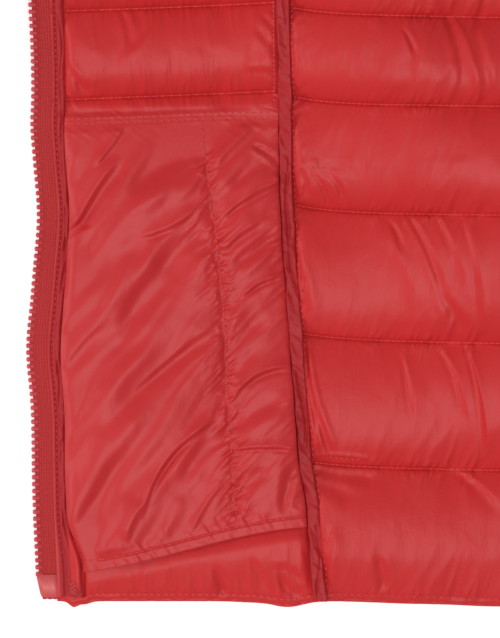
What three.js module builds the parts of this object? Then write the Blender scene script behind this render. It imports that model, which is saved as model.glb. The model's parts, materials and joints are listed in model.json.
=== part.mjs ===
// A hooded quilted jacket, unzipped and laid open on its back with the inside of both fronts up.
// Millimetres, +Z up. X runs across the jacket, +Y towards the hood, and the underside rests on Z = 0.
// The wearer's right half lies at -X and is built first; the left half is its mirror image.
import * as THREE from "three";
import { mergeVertices } from "three/addons/utils/BufferGeometryUtils.js";

const GAP = 0.3; // between pieces at a seam

// The body as cut
const BACK_LENGTH = 650; // nape to hem
const SHOULDER_HIGH = 668; // hem to the high point of the shoulder, on the back
const SHOULDER_LOW = 630; // hem to the shoulder point
const NECK_HALF = 88;
const NECK_CORNERS = [30, 60]; // the back neck's curve is made of short straight runs between these
const SHOULDER_HALF = 205;
const UNDERARM = 430; // hem to underarm
const BACK_HEM_HALF = 235; // centre back to side seam at the hem
const BACK_CHEST_HALF = 242.5; // and at the underarm
const FRONT_HEM = 305; // zip to side seam at the hem
const FRONT_CHEST = 267.5; // and at the underarm
const FRONT_SHOULDER = 650; // hem to the high point of the shoulder, on the front
const FRONT_NECK = 567; // hem to the neck along the zip
const ARMHOLE_SCOOP = 10;
const HEM_CHANNELS = [0, 58, 114, 169, 214, 254]; // heights of the lowest quilting lines
const CHANNEL_PITCH = 41; // quilting lines above those

// The front fold: the line that each open front turns over on
const FOLD_NECK_HALF = 104; // where it meets the shoulder, from the centre
const FOLD_DIES = 100; // height above the hem below which the front opens out flat
const FOLD_FULL = 160; // height above which the pleat under it is full

// Cloth
const SEAM_THICK = 2.5; // a quilted wall at its stitch lines
const LOFT = 8.5; // what the filling adds between them
const POCKET_LOFT = 5.5; // the same under the pocket bag
const EDGE_RISE = 14; // how far from a seam the loft is full
const BINDING_MARGIN = 6; // flat ground under the front edge's binding
const SEAM_MARGIN = 3.6; // and under the panel seam's
const STACK = 17.5; // height of what the open front lies on over the body
const STACK_EDGE = 75; // how wide the front drapes down from it to the floor
const COVERED_THICK = 4; // the back where it is covered
const PLEAT = { under: 4.6, over: 16.6, nose: 2.6, tuck: 7 };

// Front edge, pocket and seam finishes, measured from the zip's tooth line
const TAPE = { from: 0.6, to: 9, thick: 1, rise: 0.5 };
const EDGE_BINDING = { from: 9, to: 14.2, thick: 1.6 };
const SEAM_BINDING = { half: 2.9, thick: 2.4 };
const PANEL_SEAM = { high: 109.2, flare: 16, flareTop: 259, bend: 300, armhole: 455, sweep: 96 };
const POCKET = { top: 212.5, zipFoot: 13, seamFoot: 31, thick: 1.2 };

// Sleeves
const SLEEVE_LENGTH = 585;
const SLEEVE_DROOP = THREE.MathUtils.degToRad(12);
const CUFF_HALF = 54;
const CUFF_LENGTH = 22;
const SLEEVE = { rootHigh: 15.6, high: 20, dip: 5, slit: [5, 7], channels: 13 };

// Hood
// neckShare: how much of the half neck seam is the back neck; frontShare: where the front's neck starts
const HOOD = { half: 236, top: 290, brow: 790, strip: 70, neckShare: 0.36, frontShare: 0.43, under: 6, slit: 2, rise: 60 };

const rad90 = Math.PI / 2;
const clamp01 = (t) => Math.min(1, Math.max(0, t));
const smooth = (t) => clamp01(t) ** 2 * (3 - 2 * clamp01(t));
const mix = (a, b, t) => a + (b - a) * t;

// A curve made of straight runs between its corners.
function runs(curve, corners, at) {
  const next = corners.findIndex((corner) => at < corner);
  const k = next < 0 ? corners.length - 2 : Math.max(0, next - 1);
  return mix(curve(corners[k]), curve(corners[k + 1]), (at - corners[k]) / (corners[k + 1] - corners[k]));
}

// ---- where things lie ----

const foldTilt = Math.atan2(BACK_HEM_HALF - FOLD_NECK_HALF, SHOULDER_HIGH);
const swing =
  Math.atan2(FRONT_HEM - FRONT_CHEST, UNDERARM) + Math.atan2(BACK_CHEST_HALF - BACK_HEM_HALF, UNDERARM);
const flapTilt = 2 * foldTilt + swing; // the open front's zip from the jacket's centre line
const foldSlope = Math.tan(foldTilt);
const flapFoldSlope = Math.tan(flapTilt - foldTilt);

// Half widths of the body at height y: the fold line, the side seam and the armhole's edge.
const foldHalf = (y) => BACK_HEM_HALF - foldSlope * y;
const sideHalf = (y) => mix(BACK_HEM_HALF, BACK_CHEST_HALF, y / UNDERARM);
function armholeHalf(y) {
  const t = (y - UNDERARM) / (SHOULDER_LOW - UNDERARM);
  return mix(BACK_CHEST_HALF, SHOULDER_HALF, t) - ARMHOLE_SCOOP * Math.sin(Math.PI * clamp01(t));
}
const bodyHalf = (y) => (y < UNDERARM ? sideHalf(y) : armholeHalf(y));

// The shoulder and back neck line at distance x from the centre.
function backTop(x) {
  const a = Math.abs(x);
  const curve = (at) => BACK_LENGTH + (SHOULDER_HIGH - BACK_LENGTH) * (at / NECK_HALF) ** 2;
  if (a < NECK_HALF) return runs(curve, [0, ...NECK_CORNERS, NECK_HALF], a);
  return mix(SHOULDER_HIGH, SHOULDER_LOW, (a - NECK_HALF) / (SHOULDER_HALF - NECK_HALF));
}

// A small waviness of the zipped edge, as a sideways shift at height v.
function edgeWave(v) {
  const bump = (at, width, size) => size * Math.exp(-(((v - at) / width) ** 2));
  return bump(162, 20, 2.6) + bump(112, 22, -2.8) + bump(0, 12, 4.5);
}

// A point of the open right front: u across from the zip, v up from the hem.
function flapPoint(u, v) {
  const shifted = u + edgeWave(v) * (1 - smooth(u / 60));
  const back = FRONT_HEM - shifted;
  return [
    -BACK_HEM_HALF - back * Math.cos(flapTilt) + v * Math.sin(flapTilt),
    back * Math.sin(flapTilt) + v * Math.cos(flapTilt),
  ];
}
const flapFold = (v) => FRONT_HEM - flapFoldSlope * v;
function frontNeck(u) {
  const slope = (SHOULDER_HIGH - SHOULDER_LOW) / (SHOULDER_HALF - NECK_HALF);
  if (u > NECK_HALF) return FRONT_SHOULDER - slope * (u - NECK_HALF);
  const curve = (at) => FRONT_NECK + (FRONT_SHOULDER - FRONT_NECK) * clamp01(at / NECK_HALF) ** 2.2;
  const corners = panelColumns(EDGE_BINDING.from + GAP, flapFold(FRONT_SHOULDER)).filter((at) => at < NECK_HALF - 2);
  return runs(curve, [EDGE_BINDING.from, ...corners, NECK_HALF], u);
}

// Where a front panel's points lie between its zip edge and its seam.
function panelColumns(from, to, margin = BINDING_MARGIN) {
  const [a, b] = [from + margin, to - SEAM_MARGIN];
  const rise = Math.min(EDGE_RISE, (b - a) / 4);
  return [from, a, a + rise, ...[1, 2].map((k) => mix(a + rise, b - rise, k / 3)), b - rise, b, to];
}

// Width of the front panel at height v: it ends at its seam, which sweeps out to the armhole.
function panelSeam(v) {
  const flare = PANEL_SEAM.flare * clamp01(1 - v / PANEL_SEAM.flareTop) ** 2;
  const t = clamp01((v - PANEL_SEAM.bend) / (PANEL_SEAM.armhole - PANEL_SEAM.bend));
  return PANEL_SEAM.high + flare + PANEL_SEAM.sweep * t ** 1.6;
}

// The sleeve's lower edge at distance a from the centre.
const cuffLow = [0, 0];
{
  const root = [(BACK_CHEST_HALF + SHOULDER_HALF) / 2 - 8, (UNDERARM + SHOULDER_LOW) / 2];
  const c = [root[0] + SLEEVE_LENGTH * Math.cos(SLEEVE_DROOP), root[1] - SLEEVE_LENGTH * Math.sin(SLEEVE_DROOP)];
  cuffLow[0] = c[0] - CUFF_HALF * Math.sin(SLEEVE_DROOP);
  cuffLow[1] = c[1] - CUFF_HALF * Math.cos(SLEEVE_DROOP);
}
const sleeveLow = (a) => mix(UNDERARM, cuffLow[1], (a - BACK_CHEST_HALF) / (cuffLow[0] - BACK_CHEST_HALF));

// Height of what lies under the open front at (x, y): the body and the sleeve, draping to the floor.
function support(x, y) {
  const beyondBody = Math.abs(x) - bodyHalf(Math.min(y, SHOULDER_LOW));
  const belowSleeve = sleeveLow(Math.abs(x)) - y;
  const outside =
    beyondBody > 0 && belowSleeve > 0
      ? (beyondBody * belowSleeve) / Math.hypot(beyondBody, belowSleeve)
      : 0;
  const unfolding = smooth((y - 60) / 65);
  return STACK * (1 - smooth(outside / STACK_EDGE)) * unfolding;
}

// ---- quilting ----

const quiltLines = [...HEM_CHANNELS];
while (quiltLines.at(-1) + CHANNEL_PITCH * 1.4 < FRONT_SHOULDER) quiltLines.push(quiltLines.at(-1) + CHANNEL_PITCH);
quiltLines.push(FRONT_SHOULDER);

// Rounded height of a quilted channel at height v: 0 on the stitch lines, 1 between them.
function channel(v, lines = quiltLines) {
  const k = Math.min(lines.length - 2, Math.max(0, lines.findIndex((line) => v < line) - 1));
  const p = clamp01((v - lines[k]) / (lines[k + 1] - lines[k]));
  return (4 * p * (1 - p)) ** 0.6;
}

// Row heights that sample every channel, from a first to a last height.
function quiltRows(from, to, perChannel = 3, lines = quiltLines) {
  const rows = [from];
  lines.slice(0, -1).forEach((low, k) => {
    for (let i = 0; i < perChannel; i++) {
      const v = mix(low, lines[k + 1], i / perChannel);
      if (v > from + 3 && v < to - 3) rows.push(v);
    }
  });
  return [...rows, to];
}

const steps = (from, to, n) => Array.from({ length: n + 1 }, (_, i) => mix(from, to, i / n));

// ---- solids ----

// Turns points and quads into a closed geometry whose faces point out.
function closed(points, quads) {
  const geometry = new THREE.BufferGeometry();
  geometry.setAttribute("position", new THREE.Float32BufferAttribute(points.flat(), 3));
  const faces = quads.flatMap(([a, b, c, d]) => [a, b, c, a, c, d]);
  let volume = 0;
  const at = (i) => new THREE.Vector3(...points[i]);
  for (let i = 0; i < faces.length; i += 3)
    volume += at(faces[i]).dot(at(faces[i + 1]).cross(at(faces[i + 2])));
  if (volume < 0) faces.reverse();
  geometry.setIndex(faces);
  return mergeVertices(geometry, 1e-3);
}

// A wall of cloth: rows by columns of points on its under side and its upper side, closed round the rim.
function sheet(rows, columns, under, over) {
  const points = [];
  const quads = [];
  for (const side of [under, over])
    for (let i = 0; i < rows; i++) for (let j = 0; j < columns; j++) points.push(side(i, j));
  const low = (i, j) => i * columns + j;
  const top = (i, j) => rows * columns + low(i, j);
  for (let i = 0; i + 1 < rows; i++)
    for (let j = 0; j + 1 < columns; j++) {
      quads.push([top(i, j), top(i, j + 1), top(i + 1, j + 1), top(i + 1, j)]);
      quads.push([low(i, j), low(i + 1, j), low(i + 1, j + 1), low(i, j + 1)]);
    }
  for (let j = 0; j + 1 < columns; j++)
    for (const [i, a, b] of [[0, j, j + 1], [rows - 1, j + 1, j]])
      quads.push([low(i, a), low(i, b), top(i, b), top(i, a)]);
  for (let i = 0; i + 1 < rows; i++)
    for (const [j, a, b] of [[0, i + 1, i], [columns - 1, i, i + 1]])
      quads.push([low(a, j), low(b, j), top(b, j), top(a, j)]);
  return closed(points, quads);
}

// A flattened tube: rings of outer points and fewer rings of inner points, joined at both open ends.
function tube(outer, inner) {
  const n = outer[0].length;
  const points = [...outer.flat(), ...inner.flat()];
  const quads = [];
  const out = (i, j) => i * n + (j % n);
  const inn = (i, j) => (outer.length + i) * n + (j % n);
  for (let j = 0; j < n; j++) {
    for (let i = 0; i + 1 < outer.length; i++)
      quads.push([out(i, j), out(i, j + 1), out(i + 1, j + 1), out(i + 1, j)]);
    for (let i = 0; i + 1 < inner.length; i++)
      quads.push([inn(i, j), inn(i + 1, j), inn(i + 1, j + 1), inn(i, j + 1)]);
    quads.push([out(0, j), inn(0, j), inn(0, j + 1), out(0, j + 1)]);
    const [a, b] = [outer.length - 1, inner.length - 1];
    quads.push([out(a, j), out(a, j + 1), inn(b, j + 1), inn(b, j)]);
  }
  return closed(points, quads);
}

function mirrored(geometry) {
  const copy = geometry.clone();
  copy.scale(-1, 1, 1);
  copy.index.array.reverse();
  return copy;
}

// ---- body ----

// The back: flat under, quilted on the inside, thin where a front or a sleeve covers it.
function back() {
  const half = (y) => {
    const uncovered = foldHalf(y) - GAP;
    return mix(uncovered, bodyHalf(y), smooth((y - FOLD_DIES) / (FOLD_FULL - FOLD_DIES)));
  };
  const straight = SHOULDER_LOW - CHANNEL_PITCH;
  const rows = quiltRows(0, SHOULDER_HIGH);
  const columns = (y) => {
    const outer = half(Math.min(y, SHOULDER_LOW));
    const fold = Math.min(foldHalf(y), outer - 8);
    const right = [outer, (outer + fold) / 2, fold, fold - EDGE_RISE, ...NECK_CORNERS.toReversed()];
    return [...right.map((x) => -x), 0, ...right.toReversed()];
  };
  const place = (i, j) => {
    if (rows[i] <= straight) return [columns(rows[i])[j], rows[i]];
    const bent = (x) => mix(straight, backTop(x), (rows[i] - straight) / (SHOULDER_HIGH - straight));
    const y = bent(columns(rows[i])[j]);
    return [columns(y)[j], bent(columns(y)[j])];
  };
  const over = (i, j) => {
    const [x, y] = place(i, j);
    const covered = smooth((y - FOLD_DIES) / (FOLD_FULL - FOLD_DIES));
    if (j < 3 || j > 9) return [x, y, mix(SEAM_THICK, COVERED_THICK, covered)];
    return [x, y, SEAM_THICK + LOFT * channel(rows[i])];
  };
  return sheet(rows.length, columns(0).length, (i, j) => [...place(i, j), 0], over);
}

// A piece of the open front, from its zip side to its fold side, quilted on the inside.
function flapWall(rows, columns, bend, loft) {
  const count = columns(0).length;
  const place = (i, j) => {
    const u = columns(rows[i])[j];
    return [u, bend(u, rows[i])];
  };
  const under = (i, j) => {
    const [x, y] = flapPoint(...place(i, j));
    return [x, y, support(x, y)];
  };
  const over = (i, j) => {
    const [x, y, z] = under(i, j);
    const filled = j >= 2 && j < count - 2 ? loft(rows[i]) * channel(rows[i]) : 0;
    return [x, y, z + SEAM_THICK + filled];
  };
  return sheet(rows.length, count, under, over);
}

function frontPanel() {
  const straight = FRONT_NECK - CHANNEL_PITCH / 2;
  const rows = quiltRows(0, FRONT_SHOULDER);
  const bend = (u, v) =>
    v < straight ? v : mix(straight, frontNeck(u), (v - straight) / (FRONT_SHOULDER - straight));
  const loft = (v) => (v < POCKET.top ? POCKET_LOFT : LOFT);
  const inner = (v) => Math.min(panelSeam(v) - GAP / 2, flapFold(v));
  return flapWall(rows, (v) => panelColumns(EDGE_BINDING.from + GAP, inner(v)), bend, loft);
}

const SIDE_TOP = 412; // where the panel seam runs into the fold

function sidePanel() {
  const columns = (v) => panelColumns(panelSeam(v) + GAP / 2, flapFold(v) - GAP, SEAM_MARGIN);
  return flapWall(quiltRows(0, SIDE_TOP), columns, (u, v) => v, () => LOFT);
}

// The layers of the front that the fold hides, as one pad between the fold and the side seam and armhole.
function foldedSide() {
  const rows = [...steps(FOLD_FULL, UNDERARM, 5), ...steps(UNDERARM + 20, SHOULDER_HIGH - 14, 8)];
  const across = [0, 0.06, 0.35, 0.65, 0.96, 1];
  const place = (i, j) => {
    const y = rows[i];
    const outer = bodyHalf(Math.min(y, SHOULDER_LOW)) - (y < UNDERARM ? PLEAT.tuck : 0);
    const x = -mix(foldHalf(y), outer, across[j]);
    return [x, Math.min(y, backTop(x) - 1 - (rows.length - 1 - i) * 0.8)];
  };
  const nose = (j) => (j === 0 || (j === across.length - 1) ? PLEAT.nose : 0);
  return sheet(
    rows.length,
    across.length,
    (i, j) => [...place(i, j), PLEAT.under + nose(j)],
    (i, j) => [...place(i, j), PLEAT.over - nose(j)],
  );
}

// ---- what is sewn to the fronts ----

// A narrow strip along the front, from u0(v) to u1(v), with its under side at rise above the support.
function strip(rows, u0, u1, rise, thick, crown = 0) {
  const across = [0, 0.5, 1];
  const at = (i, j, lift) => {
    const u = mix(u0(rows[i]), u1(rows[i]), across[j]);
    const [x, y] = flapPoint(u, rows[i]);
    return [x, y, support(x, y) + lift];
  };
  return sheet(
    rows.length,
    across.length,
    (i, j) => at(i, j, rise),
    (i, j) => at(i, j, rise + thick + (j === 1 ? crown : 0)),
  );
}

const zipTape = () =>
  strip(steps(0, FRONT_NECK, 40), () => TAPE.from, () => TAPE.to - GAP, TAPE.rise, TAPE.thick);

const edgeBinding = () =>
  strip(
    steps(1, FRONT_NECK - 1, 40),
    () => EDGE_BINDING.from,
    () => EDGE_BINDING.to,
    SEAM_THICK + GAP,
    EDGE_BINDING.thick,
    0.6,
  );

const seamBinding = () =>
  strip(
    steps(1, SIDE_TOP - 22, 30),
    (v) => panelSeam(v) - SEAM_BINDING.half,
    (v) => panelSeam(v) + SEAM_BINDING.half,
    SEAM_THICK + GAP,
    SEAM_BINDING.thick,
    0.8,
  );

// The pocket bag: one thin wall sewn in at the front edge, the panel seam and along its top.
function pocketBag() {
  const foot = (u) => mix(POCKET.zipFoot, POCKET.seamFoot, smooth((u - 20) / 100));
  const rows = steps(0, 1, 12);
  const across = [0, 0.07, 0.16, 0.34, 0.5, 0.66, 0.84, 0.93, 1];
  const from = EDGE_BINDING.to + GAP;
  const edge = (v) => panelSeam(v) - SEAM_BINDING.half - GAP;
  const at = (i, j, lift) => {
    let v = mix(POCKET.zipFoot, POCKET.top, rows[i]);
    for (let pass = 0; pass < 4; pass++) v = mix(foot(mix(from, edge(v), across[j])), POCKET.top, rows[i]);
    const u = mix(from, edge(v), across[j]);
    const [x, y] = flapPoint(u, v);
    const fill = smooth(Math.min(u - from + 2, edge(v) - u + 2) / EDGE_RISE);
    return [x, y, support(x, y) + SEAM_THICK + GAP + 0.1 + (POCKET_LOFT + 0.4) * fill + lift];
  };
  return sheet(rows.length, across.length, (i, j) => at(i, j, 0), (i, j) => at(i, j, POCKET.thick));
}

// ---- sleeves ----

// A point of the flattened right sleeve: s from armhole to cuff, t from underarm edge to top edge.
function sleevePoint(s, t) {
  const rootY = mix(UNDERARM, SHOULDER_LOW, t);
  const root = [-(armholeHalf(rootY) + GAP), rootY];
  const along = [Math.sin(SLEEVE_DROOP), Math.cos(SLEEVE_DROOP)];
  const cuff = [-cuffLow[0] - 2 * CUFF_HALF * t * along[0], cuffLow[1] + 2 * CUFF_HALF * t * along[1]];
  return [mix(root[0], cuff[0], s), mix(root[1], cuff[1], s)];
}

// The ring round a flattened tube: how far across, and how high as a share of the tube's height.
const RING = [
  { t: 0.04, high: 0 },
  { t: 0.27, high: 0 },
  { t: 0.5, high: 0 },
  { t: 0.73, high: 0 },
  { t: 0.96, high: 0 },
  { t: 1, high: 0.45 },
  { t: 0.95, high: 0.82 },
  { t: 0.8, high: 1 },
  { t: 0.5, high: 1 },
  { t: 0.2, high: 1 },
  { t: 0.05, high: 0.82 },
  { t: 0, high: 0.45 },
];

function sleeve() {
  const lines = steps(0, 1, SLEEVE.channels);
  const cut = 1 - (CUFF_LENGTH + GAP) / SLEEVE_LENGTH;
  const stations = quiltRowsUnit(lines, 3).map((s) => s * cut);
  const height = (s) => {
    const open = smooth((s - 0.2) / 0.12);
    const crest = mix(SLEEVE.rootHigh, SLEEVE.high, open);
    return crest - SLEEVE.dip * (1 - channel(s / cut, lines)) * mix(0.4, 1, open);
  };
  const outer = stations.map((s) =>
    RING.map(({ t, high }) => [...sleevePoint(s, t), high * height(s)]),
  );
  const inner = steps(0, 1, 4).map((s) => slitRing(s * cut));
  return tube(outer, inner);
}

// The inside of a sleeve: a low slit, kept clear of the folded edges.
function slitRing(s) {
  const [low, high] = SLEEVE.slit;
  return RING.map(({ t, high: share }) => [
    ...sleevePoint(s, mix(0.06, 0.94, t)),
    share === 0 ? low : share < 0.5 ? (low + high) / 2 : high,
  ]);
}

function quiltRowsUnit(lines, perChannel) {
  const rows = [];
  lines.slice(0, -1).forEach((low, k) => rows.push(...steps(low, lines[k + 1], perChannel).slice(0, -1)));
  return [...rows, lines.at(-1)];
}

// The elastic band that finishes a sleeve.
function cuff() {
  const start = 1 - CUFF_LENGTH / SLEEVE_LENGTH;
  const high = SLEEVE.high - SLEEVE.dip;
  const ring = (s) => RING.map(({ t, high: share }) => [...sleevePoint(s, mix(0.02, 0.98, t)), share * high]);
  return tube(steps(start, 1, 3).map(ring), [start, 1].map(slitRing));
}

// ---- hood ----

// Where column c of the hood (-1 to 1) starts at the neck, folds over at its crown and ends at its brow.
function hoodColumn(c) {
  const a = Math.abs(c);
  const side = Math.sign(c) || 1;
  const sewn = neckSeam(a);
  const phi = a * THREE.MathUtils.degToRad(84);
  const crown = [
    HOOD.half * Math.sin(phi) ** 0.85,
    BACK_LENGTH + 14 + HOOD.top * Math.cos(phi) ** 0.62,
  ];
  const browX = (HOOD.half - 3) * Math.sin(a * rad90) ** 0.95;
  const browFall = HOOD.brow - (sewn[1] + 2) * 1;
  const brow = [browX, HOOD.brow - browFall * (browX / (HOOD.half - 3)) ** 2.6];
  const flip = ([x, y]) => [x * side, y];
  return { sewn: flip(sewn), crown: flip(crown), brow: flip(brow) };
}

// The neck seam at share a of the way from the nape to the zip: the back neck, then the open front's neck.
function neckSeam(a) {
  if (a <= HOOD.neckShare) {
    const x = (a / HOOD.neckShare) * NECK_HALF;
    return [x, backTop(x) + GAP];
  }
  const u = mix(NECK_HALF, TAPE.to, clamp01((a - HOOD.frontShare) / (1 - HOOD.frontShare)));
  const [x, y] = flapPoint(u, frontNeck(u));
  const across = clamp01((a - HOOD.neckShare) / (HOOD.frontShare - HOOD.neckShare));
  return [mix(NECK_HALF, -x, across), mix(SHOULDER_HIGH + GAP, y + 2 * GAP, across)];
}

// A piece of the hood between two columns: up from the neck, over at the crown and back to the brow.
function hoodPiece(columns) {
  const across = columns.map(hoodColumn);
  const shown = steps(0, 0.55, 10);
  const hidden = [0.7, 0.85, 0.96];
  const over = [1.04, ...steps(1.1, 2, 13)];
  const path = [...shown, ...hidden, 1, ...over];
  const place = (w, { sewn, crown, brow }) => {
    const t = w <= 1 ? Math.min(w, 0.985) : Math.min(2 - w, 0.985);
    const start = w <= 1 ? sewn : brow;
    return [mix(start[0], crown[0], t), mix(start[1], crown[1], t)];
  };
  const lift = (x, y, sewn) => {
    const raised = smooth((Math.abs(sewn[0]) - NECK_HALF) / 30);
    return STACK * raised * (1 - smooth((y - sewn[1]) / HOOD.rise));
  };
  const quilt = (w) => channel((w * 7) % 1, [0, 1]);
  const wall = (i, j, outerSide) => {
    const w = path[i];
    const column = across[j];
    const [x, y] = place(w, column);
    const base = lift(x, y, column.sewn);
    if (w === 1) {
      const [cx, cy] = column.crown;
      return outerSide
        ? [cx, cy, base + HOOD.under + 1]
        : [mix(column.sewn[0], cx, 0.97), mix(column.sewn[1], cy, 0.97), base + HOOD.under + HOOD.slit / 2];
    }
    if (w < 1) {
      const visible = 1 - smooth((w - 0.5) / 0.15);
      const inner = mix(HOOD.under, SEAM_THICK + LOFT * quilt(w), visible);
      return [x, y, outerSide ? base : base + (w === 0 ? SEAM_THICK : inner)];
    }
    const rim = w === 2 ? 0 : 1;
    const low = base + Math.max(HOOD.under, SEAM_THICK + LOFT * (1 - smooth((w - 1.2) / 0.2)) * 0) + HOOD.slit;
    const clear = mix(HOOD.under, SEAM_THICK + LOFT, smooth((w - 1.35) / 0.2)) + HOOD.slit;
    const z = Math.max(low, base + clear);
    return [x, y, outerSide ? z + SEAM_THICK + (LOFT - 1.5) * quilt(w) * rim : z];
  };
  return sheet(path.length, across.length, (i, j) => wall(i, j, true), (i, j) => wall(i, j, false));
}

// ---- zip ends ----

// A small block that follows the front edge, from u0 to u1 and v0 to v1.
function edgeBlock(u0, u1, v0, v1, rise, thick) {
  return strip([v0, mix(v0, v1, 0.5), v1], () => u0, () => u1, rise, thick, 0.4);
}

const box = () => edgeBlock(-5.6, -0.4, 0, 7.5, 0.2, 3);
const slider = () => edgeBlock(-5.6, 0.2, 8, 18, 0.2, 4.6);
const insertPin = () => edgeBlock(-2.2, 0.1, 0, 12, 0.3, 1.8);
const pullRibbon = () => edgeBlock(-4.6, -1.2, -34, -0.4, 0.1, 1.2);

// ---- assembly ----

const shell = { color: 0xc0393b, roughness: 0.42, metalness: 0 };
const lining = { color: 0xc23c3e, roughness: 0.38, metalness: 0 };
const trim = { color: 0xb23436, roughness: 0.6, metalness: 0 };
const plastic = { color: 0xb22f38, roughness: 0.35, metalness: 0 };

const jacket = new THREE.Group();

function add(name, geometry, look) {
  const mesh = new THREE.Mesh(geometry, new THREE.MeshStandardMaterial(look));
  mesh.name = name;
  jacket.add(mesh);
}

function addPair(name, geometry, look) {
  add(`${name}_right`, geometry, look);
  add(`${name}_left`, mirrored(geometry), look);
}

add("back", back(), shell);
addPair("front_panel", frontPanel(), shell);
addPair("side_panel", sidePanel(), shell);
addPair("folded_side", foldedSide(), shell);
addPair("sleeve", sleeve(), shell);
addPair("cuff", cuff(), trim);
const stripShare = (HOOD.neckShare * HOOD.strip) / NECK_HALF;
const seamShare = 0.0016;
add("hood_centre", hoodPiece(steps(-stripShare + seamShare, stripShare - seamShare, 6)), shell);
const sideColumns = [...steps(-1, -HOOD.frontShare, 7), -HOOD.neckShare, -stripShare - seamShare];
const hoodSide = hoodPiece(sideColumns);
addPair("hood_side", hoodSide, shell);
addPair("pocket_bag", pocketBag(), lining);
addPair("zip_tape", zipTape(), trim);
addPair("edge_binding", edgeBinding(), trim);
addPair("seam_binding", seamBinding(), trim);
add("zip_pin", insertPin(), plastic);
add("zip_box", mirrored(box()), plastic);
add("zip_slider", mirrored(slider()), plastic);
add("zip_pull_ribbon", mirrored(pullRibbon()), trim);

// The origin is on the floor under the middle of the laid jacket.
const extent = new THREE.Box3().setFromObject(jacket, true);
jacket.position.set(-(extent.min.x + extent.max.x) / 2, -(extent.min.y + extent.max.y) / 2, -extent.min.z);

export default jacket;
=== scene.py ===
"""A hooded quilted jacket, unzipped and laid open on its back, in cloth, stitches and zip teeth.

Lengths are millimetres until a mesh is written, and the frame is in metres. On a front, u runs across from
the zip's teeth and v up from the hem. The wearer's right half lies at -X, and the left half mirrors it.
"""

from __future__ import annotations

import json
import logging
import math
from dataclasses import dataclass, field
from enum import Enum
from functools import partial
from typing import Callable, Iterable, Sequence

import bmesh
import bpy
import numpy as np
from bpy.types import Material, Mesh, Node, NodeSocket, NodeTree, Object
from mathutils import Matrix, Vector

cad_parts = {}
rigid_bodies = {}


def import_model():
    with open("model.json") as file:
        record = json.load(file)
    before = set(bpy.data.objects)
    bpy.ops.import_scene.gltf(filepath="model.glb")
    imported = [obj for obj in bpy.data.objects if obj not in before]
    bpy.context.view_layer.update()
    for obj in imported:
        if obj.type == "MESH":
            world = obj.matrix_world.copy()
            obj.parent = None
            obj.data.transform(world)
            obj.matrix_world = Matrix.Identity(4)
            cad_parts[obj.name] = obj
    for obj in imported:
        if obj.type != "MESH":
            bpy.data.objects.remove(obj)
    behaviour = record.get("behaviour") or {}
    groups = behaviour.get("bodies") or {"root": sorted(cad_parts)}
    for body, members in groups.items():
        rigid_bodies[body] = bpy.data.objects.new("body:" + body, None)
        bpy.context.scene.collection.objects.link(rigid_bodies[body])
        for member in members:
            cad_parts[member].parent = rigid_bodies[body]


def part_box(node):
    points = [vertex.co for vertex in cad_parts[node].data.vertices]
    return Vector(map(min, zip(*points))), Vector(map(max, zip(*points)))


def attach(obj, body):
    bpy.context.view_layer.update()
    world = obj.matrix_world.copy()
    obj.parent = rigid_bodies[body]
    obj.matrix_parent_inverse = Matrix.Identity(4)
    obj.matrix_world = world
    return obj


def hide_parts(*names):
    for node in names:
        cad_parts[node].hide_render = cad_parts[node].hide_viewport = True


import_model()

Array = np.ndarray
Surface = Callable[[Array, Array], Array]
Section = tuple[float, float, float, float, float]  # v, from and to across, low side and high side
LOG = logging.getLogger("jacket")
MM = 0.001
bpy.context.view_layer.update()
SHIFT = np.array([0.0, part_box("back")[0][1], 0.0])


# ---- curves and noise ----


def smooth(t: Array) -> Array:
    """A soft step from 0 to 1 as t goes from 0 to 1."""
    t = np.clip(t, 0.0, 1.0)
    return t * t * (3.0 - 2.0 * t)


def mix(a: Array, b: Array, t: Array) -> Array:
    """The value a share t of the way from a to b."""
    return a + (b - a) * t


def bell(t: Array) -> Array:
    """A smooth hump, 1 high at 0 and about two units wide."""
    return np.exp(-(t**2))


def channel_puff(share: Array) -> Array:
    """The rounded height, from 0 to 1, at a share of the way across a channel."""
    return (4.0 * share * (1.0 - share)) ** 0.55


def pack(*parts: Array) -> Array:
    """Arrays side by side along a new last axis, stretched to one shape."""
    return np.stack(np.broadcast_arrays(*parts), -1)


def rounded(t: Array) -> Array:
    """A quarter-round rise from 0 to 1 as t goes from 0 to 1."""
    return np.sqrt(1.0 - (1.0 - np.clip(t, 0.0, 1.0)) ** 2)


def scatter(i: Array, j: Array, seed: int) -> Array:
    """A repeatable number from -1 to 1 for each lattice point.

    Args:
        i: Whole-number column.
        j: Whole-number row.
        seed: Which lattice.

    Returns:
        An array of the same shape as i.
    """
    n = (i.astype(np.int64) * 374761393 + j.astype(np.int64) * 668265263 + seed * 2246822519) & 0xFFFFFFFF
    n = ((n ^ (n >> 13)) * 1274126177) & 0xFFFFFFFF
    n = n ^ (n >> 16)
    return (n & 0xFFFF) / 32767.5 - 1.0


def noise(x: Array, y: Array, seed: int) -> Array:
    """Smooth lattice noise from -1 to 1, one bump a unit.

    Args:
        x: Across, in units of the bumps.
        y: Up, in the same units.
        seed: Which noise.

    Returns:
        An array of the same shape as x.
    """
    x, y = np.broadcast_arrays(np.asarray(x, float), np.asarray(y, float))
    i, j = np.floor(x), np.floor(y)
    fx, fy = smooth(x - i), smooth(y - j)
    low = mix(scatter(i, j, seed), scatter(i + 1, j, seed), fx)
    high = mix(scatter(i, j + 1, seed), scatter(i + 1, j + 1, seed), fx)
    return mix(low, high, fy)


def billows(x: Array, y: Array, seed: int, octaves: int = 3) -> Array:
    """Noise on several scales together, each half the size of the last."""
    return sum(noise(x * 2**k, y * 2**k, seed + 31 * k) / 2**k for k in range(octaves))


def swell(t: Array, bumps: Iterable[tuple[float, float, float]]) -> Array:
    """The sum of soft bumps, each with where it is, how wide and how high."""
    return sum(high * bell((t - at) / wide) for at, wide, high in bumps)


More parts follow.
